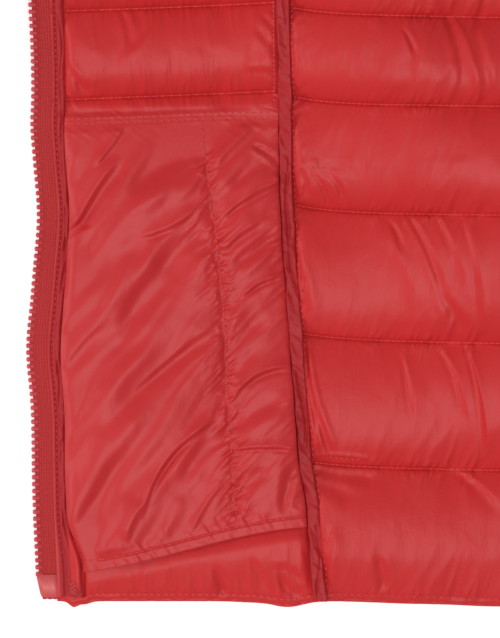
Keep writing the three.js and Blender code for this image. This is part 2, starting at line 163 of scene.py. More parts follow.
class CreaseForm(Enum):
    """The section across a crease."""

    RIDGE = "ridge"
    TROUGH = "trough"
    FOLD = "fold"


@dataclass(frozen=True)
class Crease:
    """One crease of cloth, from (u0, v0) to (u1, v1), bowed to its left by bow."""

    u0: float
    v0: float
    u1: float
    v1: float
    bow: float
    width: float
    depth: float
    form: CreaseForm

    def height(self, u: Array, v: Array) -> Array:
        """What the crease adds to the cloth's height.

        Args:
            u: Across the front.
            v: Up the front.

        Returns:
            The added height at each point.
        """
        du, dv = self.u1 - self.u0, self.v1 - self.v0
        length = math.hypot(du, dv)
        along = ((u - self.u0) * du + (v - self.v0) * dv) / length**2
        aside = ((v - self.v0) * du - (u - self.u0) * dv) / length
        aside = aside - self.bow * 4.0 * along * (1.0 - along)
        fade = smooth((along + 0.12) / 0.35) * smooth((1.12 - along) / 0.35)
        q = aside / (self.width * mix(0.8, 1.3, along))
        if self.form is CreaseForm.RIDGE:
            section = bell(q)
        elif self.form is CreaseForm.TROUGH:
            section = -bell(q) + 0.3 * bell(np.abs(q) - 1.9)
        else:
            steep, gentle = bell(q / 0.45), np.exp(-((np.maximum(q, 0.0) / 1.9) ** 1.3))
            section = np.where(q < 0.0, steep, gentle) - 0.35 * bell((q + 1.1) / 0.6)
        return self.depth * fade * section


def creases(**forms: Sequence[tuple[float, ...]]) -> tuple[Crease, ...]:
    """Creases from rows of u0, v0, u1, v1, bow, width and depth, grouped by their form."""
    return tuple(Crease(*row, CreaseForm(form)) for form, rows in forms.items() for row in rows)


def creased(u: Array, v: Array, table: Iterable[Crease]) -> Array:
    """The height that a table of creases adds together."""
    return sum((c.height(u, v) for c in table), np.zeros(np.broadcast(u, v).shape))


@dataclass(frozen=True)
class Gathers:
    """Small pleats that stand square to a line of stitches and fade away from it."""

    spacing: float
    reach: float
    size: float
    lean: float = 0.0
    seed: int = 1

    def height(self, along: Array, away: Array) -> Array:
        """The pleats' height.

        Args:
            along: Distance along the stitches.
            away: Signed distance from them.

        Returns:
            The added height at each point.
        """
        off = np.abs(away)
        path = along + self.lean * away + 0.8 * noise(along / 9.0, away / 9.0, self.seed + 5)
        wave = noise(path / self.spacing, away / (2.5 * self.reach) + 40.0, self.seed)
        crest = 1.0 - 2.0 * np.abs(wave) ** 0.75
        strength = 0.65 + 0.6 * noise(along / (7.0 * self.spacing), 0.0, self.seed + 9)
        return self.size * crest * strength * np.exp(-off / self.reach) * (1.0 - np.exp(-off / 0.8))


def gathered(along: Array, away: Array, seed: int, *rows: tuple[float, ...]) -> Array:
    """Gathers of several sizes added together, from rows of spacing, reach, size and lean."""
    return sum(Gathers(*row, seed + k).height(along, away) for k, row in enumerate(rows))


# ---- where the jacket lies ----


@dataclass(frozen=True)
class Layout:
    """The cut of the jacket and how it is laid: the same sizes as the frame's own solids."""

    back_length: float = 650.0
    shoulder_high: float = 668.0
    shoulder_low: float = 630.0
    neck_half: float = 88.0
    shoulder_half: float = 205.0
    underarm: float = 430.0
    hem_half: float = 235.0
    chest_half: float = 242.5
    front_hem: float = 305.0
    front_chest: float = 267.5
    front_shoulder: float = 650.0
    front_neck_low: float = 567.0
    scoop: float = 10.0
    fold_neck_half: float = 104.0
    stack: float = 17.5
    stack_edge: float = 75.0
    seam_high: float = 109.2
    seam_flare: float = 16.0
    flare_top: float = 259.0
    seam_bend: float = 300.0
    seam_armhole: float = 455.0
    seam_sweep: float = 96.0
    side_top: float = 412.0
    detail_top: float = 262.0
    sleeve_length: float = 585.0
    sleeve_droop: float = math.radians(12.0)
    cuff_half: float = 54.0

    @property
    def fold_tilt(self) -> float:
        """How far the fold line leans from the centre line."""
        return math.atan2(self.hem_half - self.fold_neck_half, self.shoulder_high)

    @property
    def tilt(self) -> float:
        """How far the open front's zip leans from the centre line.

        Returns:
            The angle.
        """
        front = math.atan2(self.front_hem - self.front_chest, self.underarm)
        back = math.atan2(self.chest_half - self.hem_half, self.underarm)
        return 2.0 * self.fold_tilt + front + back

    def fold_half(self, y: Array) -> Array:
        """Half the width between the fold lines."""
        return self.hem_half - math.tan(self.fold_tilt) * y

    def body_half(self, y: Array) -> Array:
        """Half the width of the body, to the side seam or armhole.

        Args:
            y: Up from the hem.

        Returns:
            Half the width.
        """
        side = mix(self.hem_half, self.chest_half, y / self.underarm)
        t = (y - self.underarm) / (self.shoulder_low - self.underarm)
        armhole = mix(self.chest_half, self.shoulder_half, t)
        armhole = armhole - self.scoop * np.sin(math.pi * np.clip(t, 0.0, 1.0))
        return np.where(y < self.underarm, side, armhole)

    def back_top(self, x: Array) -> Array:
        """The shoulder and back neck line.

        Args:
            x: Across the jacket.

        Returns:
            Its height.
        """
        a = np.abs(x)
        neck = self.back_length + (self.shoulder_high - self.back_length) * (a / self.neck_half) ** 2
        share = (a - self.neck_half) / (self.shoulder_half - self.neck_half)
        return np.where(a < self.neck_half, neck, mix(self.shoulder_high, self.shoulder_low, share))

    @staticmethod
    def edge_wave(v: Array) -> Array:
        """The small sideways waviness of the zipped edge."""
        low = ((0.0, 34.0, 2.0), (108.0, 19.0, -2.3), (166.0, 21.0, 2.3))
        return swell(v, low + ((205.0, 9.0, -0.6), (262.0, 20.0, -0.9)))

    def flap(self, u: Array, v: Array) -> tuple[Array, Array]:
        """A point of the open right front, seen from above.

        Args:
            u: Across from the zip.
            v: Up from the hem.

        Returns:
            Its x and y.
        """
        back = self.front_hem - (u + self.edge_wave(v) * (1.0 - smooth(u / 60.0)))
        cos, sin = math.cos(self.tilt), math.sin(self.tilt)
        return -self.hem_half - back * cos + v * sin, back * sin + v * cos

    @staticmethod
    def hem_sag(u: Array, v: Array) -> Array:
        """How far the front's hem hangs below a straight line, fading out above it.

        Args:
            u: Across the front.
            v: Up the front.

        Returns:
            The sag at each point.
        """
        corner = ((16.5, 2.6, 2.4), (21.5, 3.5, 1.3))
        dips = ((111.0, 9.0, 2.5), (95.0, 9.0, 0.5), (163.0, 20.0, 0.9), (203.0, 26.0, 2.3))
        return swell(u, corner + dips) * (1.0 - smooth(v / 15.0))

    def front(self, u: Array, v: Array) -> tuple[Array, Array]:
        """A point of the quilted front, with its hem's waviness."""
        return self.flap(u, v - self.hem_sag(u, v))

    @staticmethod
    def seam_sway(v: Array) -> Array:
        """The sideways waviness of the panel seam's binding."""
        return 0.85 * noise(v / 24.0 + 0.4, 0.0, 57) + 0.25 * noise(v / 9.0, 0.0, 58)

    def flap_fold(self, v: Array) -> Array:
        """How far across the fold line lies at height v."""
        return self.front_hem - math.tan(self.tilt - self.fold_tilt) * v

    def front_neck(self, u: Array) -> Array:
        """The front's neck and shoulder line.

        Args:
            u: Across the front.

        Returns:
            Its height.
        """
        rise = self.front_shoulder - self.front_neck_low
        neck = self.front_neck_low + rise * np.clip(u / self.neck_half, 0.0, 1.0) ** 2.2
        slope = (self.shoulder_high - self.shoulder_low) / (self.shoulder_half - self.neck_half)
        return np.where(u > self.neck_half, self.front_shoulder - slope * (u - self.neck_half), neck)

    def seam(self, v: Array) -> Array:
        """The seam between the front's two panels.

        Args:
            v: Up the front.

        Returns:
            How far across it lies.
        """
        flare = self.seam_flare * np.clip(1.0 - v / self.flare_top, 0.0, 1.0) ** 2
        t = np.clip((v - self.seam_bend) / (self.seam_armhole - self.seam_bend), 0.0, 1.0)
        return self.seam_high + flare + self.seam_sweep * t**1.6

    @property
    def cuff_low(self) -> tuple[float, float]:
        """The lower corner of the left cuff.

        Returns:
            Its x and y.
        """
        x = (self.chest_half + self.shoulder_half) / 2.0 - 8.0
        y = (self.underarm + self.shoulder_low) / 2.0
        cos, sin = math.cos(self.sleeve_droop), math.sin(self.sleeve_droop)
        x, y = x + self.sleeve_length * cos, y - self.sleeve_length * sin
        return x - self.cuff_half * sin, y - self.cuff_half * cos

    def laid(self, u: Array, v: Array, height: Array) -> Array:
        """Points at a height above what the open front lies on."""
        x, y = self.flap(u, v)
        return pack(x, y, self.support(x, y) + height)

    def support(self, x: Array, y: Array) -> Array:
        """Height of the body and sleeve that the open front drapes over, down to the floor.

        Args:
            x: Across the jacket.
            y: Up from the hem.

        Returns:
            The height at each point.
        """
        corner_x, corner_y = self.cuff_low
        beyond = np.maximum(np.abs(x) - self.body_half(np.minimum(y, self.shoulder_low)), 0.0)
        share = (np.abs(x) - self.chest_half) / (corner_x - self.chest_half)
        below = np.maximum(mix(self.underarm, corner_y, share) - y, 0.0)
        outside = beyond * below / np.maximum(np.hypot(beyond, below), 1e-6)
        return self.stack * (1.0 - smooth(outside / self.stack_edge)) * smooth((y - 60.0) / 65.0)

    def sleeve(self, s: Array, t: Array) -> tuple[Array, Array]:
        """A point of the flattened right sleeve.

        Args:
            s: From the armhole, 0, to the cuff's end, 1.
            t: From the underarm edge, 0, to the top edge, 1.

        Returns:
            Its x and y.
        """
        root_y = mix(self.underarm, self.shoulder_low, t)
        root_x = -(self.body_half(np.maximum(root_y, self.underarm)) + 0.3)
        cuff_x = -self.cuff_low[0] - 2.0 * self.cuff_half * t * math.sin(self.sleeve_droop)
        cuff_y = self.cuff_low[1] + 2.0 * self.cuff_half * t * math.cos(self.sleeve_droop)
        return mix(root_x, cuff_x, s), mix(root_y, cuff_y, s)


LAY = Layout()


@dataclass(frozen=True)
class Quilting:
    """The heights of the quilting lines and the rounded channels between them."""

    low: tuple[float, ...] = (0.0, 59.5, 114.5, 169.5, 216.0, 254.0)
    pitch: float = 41.0
    top: float = 668.0
    flat: float = 0.12
    crown: float = 0.42

    @property
    def lines(self) -> Array:
        """Every line, from the hem to the shoulder.

        Returns:
            Their heights.
        """
        lines = list(self.low)
        while lines[-1] + 1.4 * self.pitch < self.top:
            lines.append(lines[-1] + self.pitch)
        return np.array([*lines, self.top])

    def channel(self, v: Array) -> tuple[Array, Array, Array]:
        """Where height v lies in its channel.

        Args:
            v: Height, with the lines' own slope taken off.

        Returns:
            The channel's rounded height from 0 to 1, the signed distance to the nearest line, and its number.
        """
        lines = self.lines
        k = np.clip(np.searchsorted(lines, v, side="right") - 1, 0, len(lines) - 2)
        wide = lines[k + 1] - lines[k]
        p = np.clip((v - lines[k]) / wide, 0.0, 1.0)
        nearest = np.where(p < 0.5, k, k + 1)
        edge = self.flat / wide
        rise, fall = (p - edge) / (self.crown - edge), (1.0 - p - edge) / (1.0 - self.crown - edge)
        t = np.clip(np.where(p < self.crown, rise, fall), 0.0, 1.0)
        return (1.0 - (1.0 - t) ** np.where(p < self.crown, 2.3, 2.0)) ** 0.95, v - lines[nearest], nearest

    def rows(self, start: float, stop: float, step: Callable[[float], float]) -> Array:
        """Heights that meet every line, close together beside it and apart between.

        Args:
            start: The lowest.
            stop: The highest.
            step: The widest step allowed at a height.

        Returns:
            The heights.
        """
        rows = [start]
        while rows[-1] < stop:
            at = rows[-1]
            near = float(np.abs(self.lines - at).min())
            pace = step(at) * mix(0.19, 1.0, min(near / 14.0, 1.0))
            ahead = float(self.lines[self.lines > at + 1e-6][0]) if at < self.top - 1e-6 else stop
            target = min(ahead, stop)
            rows.append(target if at + 1.5 * pace > target else at + pace)
        return np.array(rows)


QUILT = Quilting()


# ---- meshes ----


class Side(Enum):
    """The wearer's side that a piece belongs to."""

    RIGHT = -1
    LEFT = 1

    @property
    def label(self) -> str:
        """The side's name, as the frame's nodes use it."""
        return self.name.lower()

    def turn(self, points: Array) -> Array:
        """The right side's points, mirrored for the left."""
        return points * np.array([-self.value, 1.0, 1.0])


@dataclass
class MeshParts:
    """Faces that grow into one closed mesh."""

    points: list[Array] = field(default_factory=list)
    places: list[Array] = field(default_factory=list)
    corners: list[Array] = field(default_factory=list)
    sizes: list[Array] = field(default_factory=list)
    count: int = 0

    def _add(self, points: Array, places: Array, faces: Sequence[Array], flip: bool) -> None:
        """Adds points and the faces between them.

        Args:
            points: The points.
            places: Their pattern coordinates.
            faces: Each face's corners, as indices into the points.
            flip: Turn the faces over.
        """
        self.points.append(points.reshape(-1, 3))
        self.places.append(places.reshape(-1, 2))
        self.corners += [(face[::-1] if flip else face) + self.count for face in faces]
        self.sizes.append(np.array([len(face) for face in faces]))
        self.count += points.size // 3

    def grid(self, points: Array, places: Array, flip: bool = False) -> None:
        """Adds a grid of points as quads.

        Args:
            points: Rows by columns by xyz.
            places: Rows by columns by uv.
            flip: Turn the faces over.
        """
        index = np.arange(points.size // 3).reshape(points.shape[:2])
        quads = pack(index[:-1, :-1], index[:-1, 1:], index[1:, 1:], index[1:, :-1]).reshape(-1, 4)
        self._add(points, places, list(quads), flip)

    def hidden(self, points: Array, places: Array, coarse: int, flip: bool = False) -> None:
        """Adds a grid of points as large faces, whose outer edge still meets every point of it.

        Args:
            points: Rows by columns by xyz.
            places: Rows by columns by uv.
            coarse: How many rows and columns a face spans.
            flip: Turn the faces over.
        """
        rows, columns = points.shape[:2]
        index = np.arange(rows * columns).reshape(rows, columns)
        down = [*range(0, rows - 1, coarse), rows - 1]
        over = [*range(0, columns - 1, coarse), columns - 1]
        faces = []
        for a, b in zip(down, down[1:]):
            for c, d in zip(over, over[1:]):
                low = index[a, c : d + 1] if a == 0 else index[a, [c, d]]
                right = index[a : b + 1, d] if d == columns - 1 else index[[a, b], d]
                high = index[b, c : d + 1] if b == rows - 1 else index[b, [c, d]]
                left = index[a : b + 1, c] if c == 0 else index[[a, b], c]
                faces.append(np.concatenate([low[:-1], right[:-1], high[:0:-1], left[:0:-1]]))
        self._add(points, places, faces, flip)

    def rim(self, upper: Array, lower: Array, places: Array, flip: bool = False) -> None:
        """Adds the rim between the edges of two grids of points with the same pattern coordinates."""
        for edge, turned in ((np.s_[0, :], 0), (np.s_[-1, :], 1), (np.s_[:, 0], 1), (np.s_[:, -1], 0)):
            self.grid(np.stack([upper[edge], lower[edge]]), np.stack([places[edge]] * 2), turned != flip)

    def object(self, name: str, finish: Material, side: Side = Side.RIGHT) -> Object:
        """Writes the mesh, with its grids joined along their edges.

        Args:
            name: The piece's name.
            finish: Its material.
            side: LEFT mirrors it.

        Returns:
            The new object, at the origin.
        """
        points = side.turn(np.concatenate(self.points)) * MM + SHIFT
        corners, sizes = np.concatenate(self.corners), np.concatenate(self.sizes)
        mesh = bpy.data.meshes.new(name)
        mesh.vertices.add(len(points))
        mesh.vertices.foreach_set("co", points.astype(np.float32).ravel())
        mesh.loops.add(len(corners))
        mesh.loops.foreach_set("vertex_index", corners.astype(np.int32))
        mesh.polygons.add(len(sizes))
        mesh.polygons.foreach_set("loop_start", np.concatenate([[0], np.cumsum(sizes)[:-1]]).astype(np.int32))
        mesh.update(calc_edges=True)
        layer = mesh.uv_layers.new(name="cloth")
        places = np.concatenate(self.places) * MM
        layer.data.foreach_set("uv", places[corners].astype(np.float32).ravel())
        self.join(mesh)
        mesh.materials.append(finish)
        return link(name, mesh)

    @staticmethod
    def join(mesh: Mesh) -> None:
        """Joins grids where their points meet, keeps a crisp edge there and turns every face outwards.

        Args:
            mesh: The mesh.
        """
        net = bmesh.new()
        net.from_mesh(mesh)
        for edge in net.edges:
            edge.smooth = not edge.is_boundary
        bmesh.ops.remove_doubles(net, verts=net.verts, dist=2e-6)
        loose = [vertex for vertex in net.verts if not vertex.link_faces]
        bmesh.ops.delete(net, geom=loose, context="VERTS")
        bmesh.ops.recalc_face_normals(net, faces=net.faces)
        if net.calc_volume(signed=True) < 0.0:
            bmesh.ops.reverse_faces(net, faces=net.faces)
        for face in net.faces:
            face.smooth = True
        net.to_mesh(mesh)
        net.free()


def link(name: str, mesh: Mesh) -> Object:
    """Puts a mesh in the scene.

    Args:
        name: The object's name.
        mesh: The mesh.

    Returns:
        The object.
    """
    piece = bpy.data.objects.new(name, mesh)
    bpy.context.scene.collection.objects.link(piece)
    return piece


def spread(*runs: tuple[float, float, float]) -> Array:
    """Numbers that run on from one another, none twice, from each run's start, end and step."""
    pieces = [np.linspace(a, b, max(2, int(round(abs(b - a) / step)) + 1)) for a, b, step in runs]
    return np.concatenate([pieces[0], *[p[1:] for p in pieces[1:]]])


# ---- finishes ----


class Bench:
    """Short ways to add, set and join the nodes of one tree."""

    def __init__(self, tree: NodeTree) -> None:
        """Keeps the tree."""
        self.tree = tree

    def fill(self, node: Node, inputs: dict) -> None:
        """Sets a node's inputs, or joins sockets to them.

        Args:
            node: The node.
            inputs: Values or sockets, by the input's name or number.
        """
        for key, value in inputs.items():
            if isinstance(value, NodeSocket):
                self.tree.links.new(value, node.inputs[key])
            else:
                node.inputs[key].default_value = value

    def add(self, kind: str, inputs: dict | None = None, **settings: object) -> Node:
        """Adds a node.

        Args:
            kind: Its type.
            inputs: What its inputs hold.
            settings: Its properties, set before its inputs.

        Returns:
            The node.
        """
        node = self.tree.nodes.new(kind)
        for name, value in settings.items():
            setattr(node, name, value)
        self.fill(node, inputs or {})
        return node

    def math(self, kind: str, *values: object) -> NodeSocket:
        """The result of a Math node."""
        return self.add("ShaderNodeMath", dict(enumerate(values)), operation=kind).outputs[0]

    def noise(self, vector: object, scale: object, detail: float, warp: float) -> NodeSocket:
        """Noise at a place, with scale bumps a metre."""
        inputs = {"Vector": vector, "Scale": scale, "Detail": detail, "Distortion": warp}
        return self.add("ShaderNodeTexNoise", inputs).outputs[0]

    def blend(self, share: object, a: object, b: object, kind: str = "MIX") -> NodeSocket:
        """The colour that a Mix node makes of two."""
        return self.add("ShaderNodeMix", {0: share, 6: a, 7: b}, data_type="RGBA", blend_type=kind).outputs[2]


class Effects:
    """Shader groups that several finishes share, built once."""

    @staticmethod
    def group(name: str, ins: dict[str, float], outs: Sequence[str]) -> tuple[Bench, object, object]:
        """An empty shader group with named sockets.

        Args:
            name: The group's name.
            ins: Each number input and its usual value.
            outs: Each number output.

        Returns:
            Its bench, the sockets of its inputs and its output node.
        """
        tree = bpy.data.node_groups.new(name, "ShaderNodeTree")
        tree.interface.new_socket("Vector", in_out="INPUT", socket_type="NodeSocketVector")
        for label, value in ins.items():
            socket = tree.interface.new_socket(label, in_out="INPUT", socket_type="NodeSocketFloat")
            socket.default_value = value
        for label in outs:
            tree.interface.new_socket(label, in_out="OUTPUT", socket_type="NodeSocketFloat")
        bench = Bench(tree)
        return bench, bench.add("NodeGroupInput").outputs, bench.add("NodeGroupOutput")

    @classmethod
    def crinkle(cls) -> NodeTree:
        """Fine crinkles and slow unevenness of thin cloth, from pattern coordinates in metres.

        Returns:
            The group.
        """
        sizes = {"Crinkles per metre": 260.0, "Patches per metre": 14.0}
        bench, given, end = cls.group("cloth_crinkle", sizes, ("Height", "Tone"))
        calc, place = bench.math, given["Vector"]
        fine = bench.noise(place, given["Crinkles per metre"], 3.0, 0.6)
        ridge = calc("ABSOLUTE", calc("SUBTRACT", fine, 0.5))
        ridge = calc("SUBTRACT", 1.0, calc("MULTIPLY", ridge, 2.0))
        ridge = calc("POWER", ridge, 2.0)
        broad = bench.noise(place, 90.0, 3.0, 0.4)
        drawn = bench.add("ShaderNodeVectorMath", {0: place, 1: (520.0, 70.0, 1.0)}, operation="MULTIPLY")
        streak = bench.noise(drawn.outputs[0], 1.0, 2.0, 0.3)
        height = calc("MULTIPLY_ADD", streak, 0.9, calc("MULTIPLY_ADD", ridge, 0.35, broad))
        tone = bench.noise(place, given["Patches per metre"], 4.0, 0.0)
        bench.fill(end, {"Height": height, "Tone": tone})
        return bench.tree

    @classmethod
    def weave(cls) -> NodeTree:
        """A plain or, with slant, a herringbone weave, from pattern coordinates in metres.

        Returns:
            The group.
        """
        sizes = {"Threads per metre": 4000.0, "Slant": 0.0, "Band": 0.0011}
        bench, given, end = cls.group("weave", sizes, ("Height",))
        calc = bench.math
        split = bench.add("ShaderNodeSeparateXYZ", {0: given["Vector"]})
        x, y = split.outputs[0], split.outputs[1]
        rate = calc("MULTIPLY", given["Threads per metre"], math.pi)
        zigzag = calc("PINGPONG", x, given["Band"])
        path = calc("ADD", y, calc("MULTIPLY", zigzag, given["Slant"]))
        rib = calc("ABSOLUTE", calc("SINE", calc("MULTIPLY", path, rate)))
        column = calc("DIVIDE", math.pi, given["Band"])
        cross = calc("ABSOLUTE", calc("SINE", calc("MULTIPLY", x, column)))
        bench.fill(end, {"Height": calc("MULTIPLY", rib, calc("POWER", cross, 0.5))})
        return bench.tree


@dataclass(frozen=True)
class Finish:
    """One material of the jacket."""

    name: str
    color: tuple[float, float, float]
    shade: tuple[float, float, float]
    roughness: float = 0.45
    sheen: float = 0.1
    gloss: float = 0.32
    crinkle: float = 0.0
    crinkles_per_metre: float = 260.0
    weave: float = 0.0
    threads_per_metre: float = 4000.0
    slant: float = 0.0
    slot: str = "quilted_shell"
    cut_from_cloth: bool = True

    def place(self, bench: Bench) -> NodeSocket:
        """Where a point lies: on the pattern of a cut piece, or in the object's own space."""
        pattern = bench.add("ShaderNodeUVMap", uv_map="cloth") if self.cut_from_cloth else None
        return pattern.outputs[0] if pattern else bench.add("ShaderNodeTexCoord").outputs["Object"]

    def build(self, crinkle: NodeTree, weave: NodeTree) -> Material:
        """Makes the material.

        Args:
            crinkle: The shared crinkle group.
            weave: The shared weave group.

        Returns:
            The material.
        """
        material = bpy.data.materials.new(self.name)
        material.use_nodes = True
        bench = Bench(material.node_tree)
        place = self.place(bench)
        inputs = {"Vector": place, "Crinkles per metre": self.crinkles_per_metre}
        cloth = bench.add("ShaderNodeGroup", inputs, node_tree=crinkle)
        inputs = {"Value": cloth.outputs["Tone"], "From Min": 0.3, "From Max": 0.62}
        patches = bench.add("ShaderNodeMapRange", inputs)
        color = bench.blend(patches.outputs[0], (*self.shade, 1.0), (*self.color, 1.0))
        height = bench.math("MULTIPLY", cloth.outputs["Height"], self.crinkle)
        if self.weave:
            inputs = {"Vector": place, "Threads per metre": self.threads_per_metre, "Slant": self.slant}
            woven = bench.add("ShaderNodeGroup", inputs, node_tree=weave).outputs["Height"]
            height = bench.math("MULTIPLY_ADD", woven, self.weave, height)
            # Painted shade and light: the colour is darkened in the weave's low gaps and lightened on its
            # raised threads, following the weave's height.
            weave_light_and_shade = bench.add("ShaderNodeMapRange", {"Value": woven, "To Min": 0.72, "To Max": 1.06})
            color = bench.blend(1.0, color, weave_light_and_shade.outputs[0], "MULTIPLY")
        bump = bench.add("ShaderNodeBump", {"Strength": 0.7, "Distance": MM, "Height": height})
        inputs = {
            "Base Color": color, "Roughness": self.roughness, "Specular IOR Level": self.gloss, "IOR": 1.46,
            "Sheen Weight": self.sheen, "Sheen Roughness": 0.4, "Normal": bump.outputs[0],
        }
        bench.fill(material.node_tree.nodes["Principled BSDF"], inputs)
        return material


class Wardrobe:
    """Every finish of the jacket, by what it is for."""

    SHELL = Finish("quilted_nylon", (0.55, 0.021, 0.023), (0.52, 0.018, 0.020), 0.46, 0.03, crinkle=0.16)
    BACKING = Finish("nylon_outside", (0.52, 0.019, 0.021), (0.49, 0.016, 0.018), 0.48, 0.03, crinkle=0.16)
    BAG = Finish(
        "pocket_nylon", (0.53, 0.024, 0.027), (0.505, 0.021, 0.024), 0.45, 0.03, crinkle=0.12,
        slot="pocket_lining",
    )
    BINDING = Finish(
        "binding_nylon", (0.40, 0.015, 0.019), (0.36, 0.012, 0.016), 0.50, 0.03, 0.24, 0.2, 420.0,
        slot="binding",
    )
    CUFF = Finish(
        "elastic_binding", (0.45, 0.020, 0.023), (0.41, 0.016, 0.020), 0.55, 0.05, crinkle=0.3,
        weave=0.4, threads_per_metre=1400.0, slot="binding",
    )
    TAPE = Finish(
        "zip_tape_weave", (0.66, 0.044, 0.046), (0.62, 0.038, 0.041), 0.62, 0.05, crinkle=0.05,
        weave=0.8, threads_per_metre=980.0, slant=0.9, slot="zip_tape",
    )
    TEETH = Finish(
        "moulded_teeth", (0.54, 0.034, 0.042), (0.60, 0.075, 0.09), 0.34, 0.0, 0.4, 0.02,
        slot="zip_plastic", cut_from_cloth=False,
    )
    THREAD = Finish(
        "thread", (0.64, 0.060, 0.058), (0.58, 0.045, 0.045), 0.6, 0.05, crinkle=0.05, cut_from_cloth=False
    )
    FILM = Finish(
        "glossy_film", (0.64, 0.105, 0.105), (0.58, 0.070, 0.072), 0.42, 0.0, 0.5, 0.4, 500.0,
        slot="zip_plastic", cut_from_cloth=False,
    )

    def __init__(self) -> None:
        """Builds the shared groups and every material."""
        crinkle, weave = Effects.crinkle(), Effects.weave()
        finishes = [f for f in vars(Wardrobe).values() if isinstance(f, Finish)]
        self._made = {finish: finish.build(crinkle, weave) for finish in finishes}

    def of(self, finish: Finish) -> Material:
        """The material of a finish."""
        return self._made[finish]

    def wall(
        self, node: str, finish: Finish, side: Side, top: Array, under: Array, places: Array, coarse: int = 5
    ) -> Object:
        """A wall of cloth for one node, with a fine upper side, a coarse under side and a rim.

        Args:
            node: The node that it stands for.
            finish: What it is made of.
            side: LEFT mirrors it.
            top: Rows by columns of points on its upper side.
            under: The same on its under side.
            places: Pattern coordinates of both.
            coarse: How many rows and columns of the under side are one.

        Returns:
            The piece.
        """
        parts = MeshParts()
        parts.grid(top, places)
        parts.hidden(under, places, coarse, flip=True)
        parts.rim(top, under, places)
        return settle(parts.object(f"cloth_{node}", self.of(finish), side), finish, node)


def settle(piece: Object, finish: Finish, *nodes: str) -> Object:
    """Ties a finished piece to the frame.

    Args:
        piece: The piece.
        finish: What it is made of. Not used.
        nodes: The frame's nodes that it stands for.

    Returns:
        The same piece.
    """
    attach(piece, "root")
    if nodes:
        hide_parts(*nodes)
    triangles = sum(len(p.vertices) - 2 for p in piece.data.polygons)
    LOG.info("%s: %d triangles", piece.name, triangles)
    return piece


# ---- the open fronts ----


class PanelPlace(Enum):
    """Which panel of a front."""

    FRONT = "front"
    SIDE = "side"


SIDE_CREASES = creases(
    trough=(
        (118, 113, 129, 64, -2.5, 1.3, 1.9), (121, 85, 124, 63, 0.4, 0.9, 0.8),
        (123, 186, 135, 172.5, 2.2, 1, 0.75), (126, 187, 141, 183.5, 0.8, 1.2, 0.4),
        (121.5, 184, 128.5, 169, 1.4, 0.9, 0.6), (116.5, 185, 119, 174, 0.4, 1.4, 0.6),
        (177, 131, 186, 116, 0.5, 2, 0.8), (176, 256, 186, 222, 1.5, 1.6, 0.8),
        (160, 245, 165, 234, 0.6, 1, 0.8), (197, 262, 191, 244, -1, 1.6, 0.8),
        (155, 163, 160, 150, 0.8, 1.2, 0.7), (163, 165, 177, 134, 1.2, 1.3, 0.8),
        (115.5, 147, 118.5, 121, 0.5, 1.8, 0.8), (122, 50, 138, 44, 1.5, 3, 0.9),
        (121, 56, 150, 52.5, -1, 2.2, 0.9), (150, 19, 152, 4, 0.4, 2.2, 0.9),
    ),
    fold=(
        (175, 167, 187, 138, 1.5, 2.6, 0.9), (187, 164.5, 195, 119, 1.5, 2.2, 1.1),
        (161, 106, 166, 80, 0.8, 2.2, 0.8), (178, 108, 189, 80, 1.5, 2.4, 1),
        (188, 111, 197, 64, 2, 2, 1.2), (185, 56, 203, 41, 1.5, 3.2, 1.1),
        (131, 30, 128.5, 6, 0.4, 2.6, 1.1), (173, 249, 166, 226, -1, 2.6, 0.7),
        (192, 246, 199, 218, 1, 2.2, 0.8),
    ),
    ridge=(
        (120.5, 96, 127, 66, -1, 1.6, 0.9), (124.5, 184.5, 133, 173, 1.8, 1.4, 0.5),
        (116, 187.2, 124, 187.6, 0.3, 0.8, 0.9), (152, 160, 166, 128, 2, 3.6, 0.8),
        (125, 62.5, 147, 60.5, 0.6, 0.8, 0.6), (182, 250, 192, 216, 2, 1.3, 0.7),
    ),
)

FRONT_CREASES = creases(
    trough=(
        (97, 246, 107, 234, 1, 1.8, 0.8), (100, 252, 107.5, 241, 0.5, 1.4, 0.7),
        (15, 228, 25, 219, -1, 2, 1), (14.8, 231, 22, 221, 0.4, 1.1, 1.2),
        (39, 255, 43.5, 238, 0.8, 1.6, 0.8), (80, 13, 83, 2, 0.4, 2, 1.2), (107, 11, 116, 3, -1, 1.8, 1.2),
        (118.5, 22, 121.5, 6, 0.5, 1.6, 1.1),
    ),
    fold=(
        (92, 229, 108, 228, 1, 1.8, 0.8), (56, 252, 43, 234, 1, 2.6, 0.6),
        (104, 16, 118, 11, 1.5, 1.8, 1.2), (96, 19, 104, 6, 0.8, 2.2, 0.9),
    ),
    ridge=(
        (15, 219, 19.5, 212.5, 0.6, 0.9, 0.9),
    ),
)


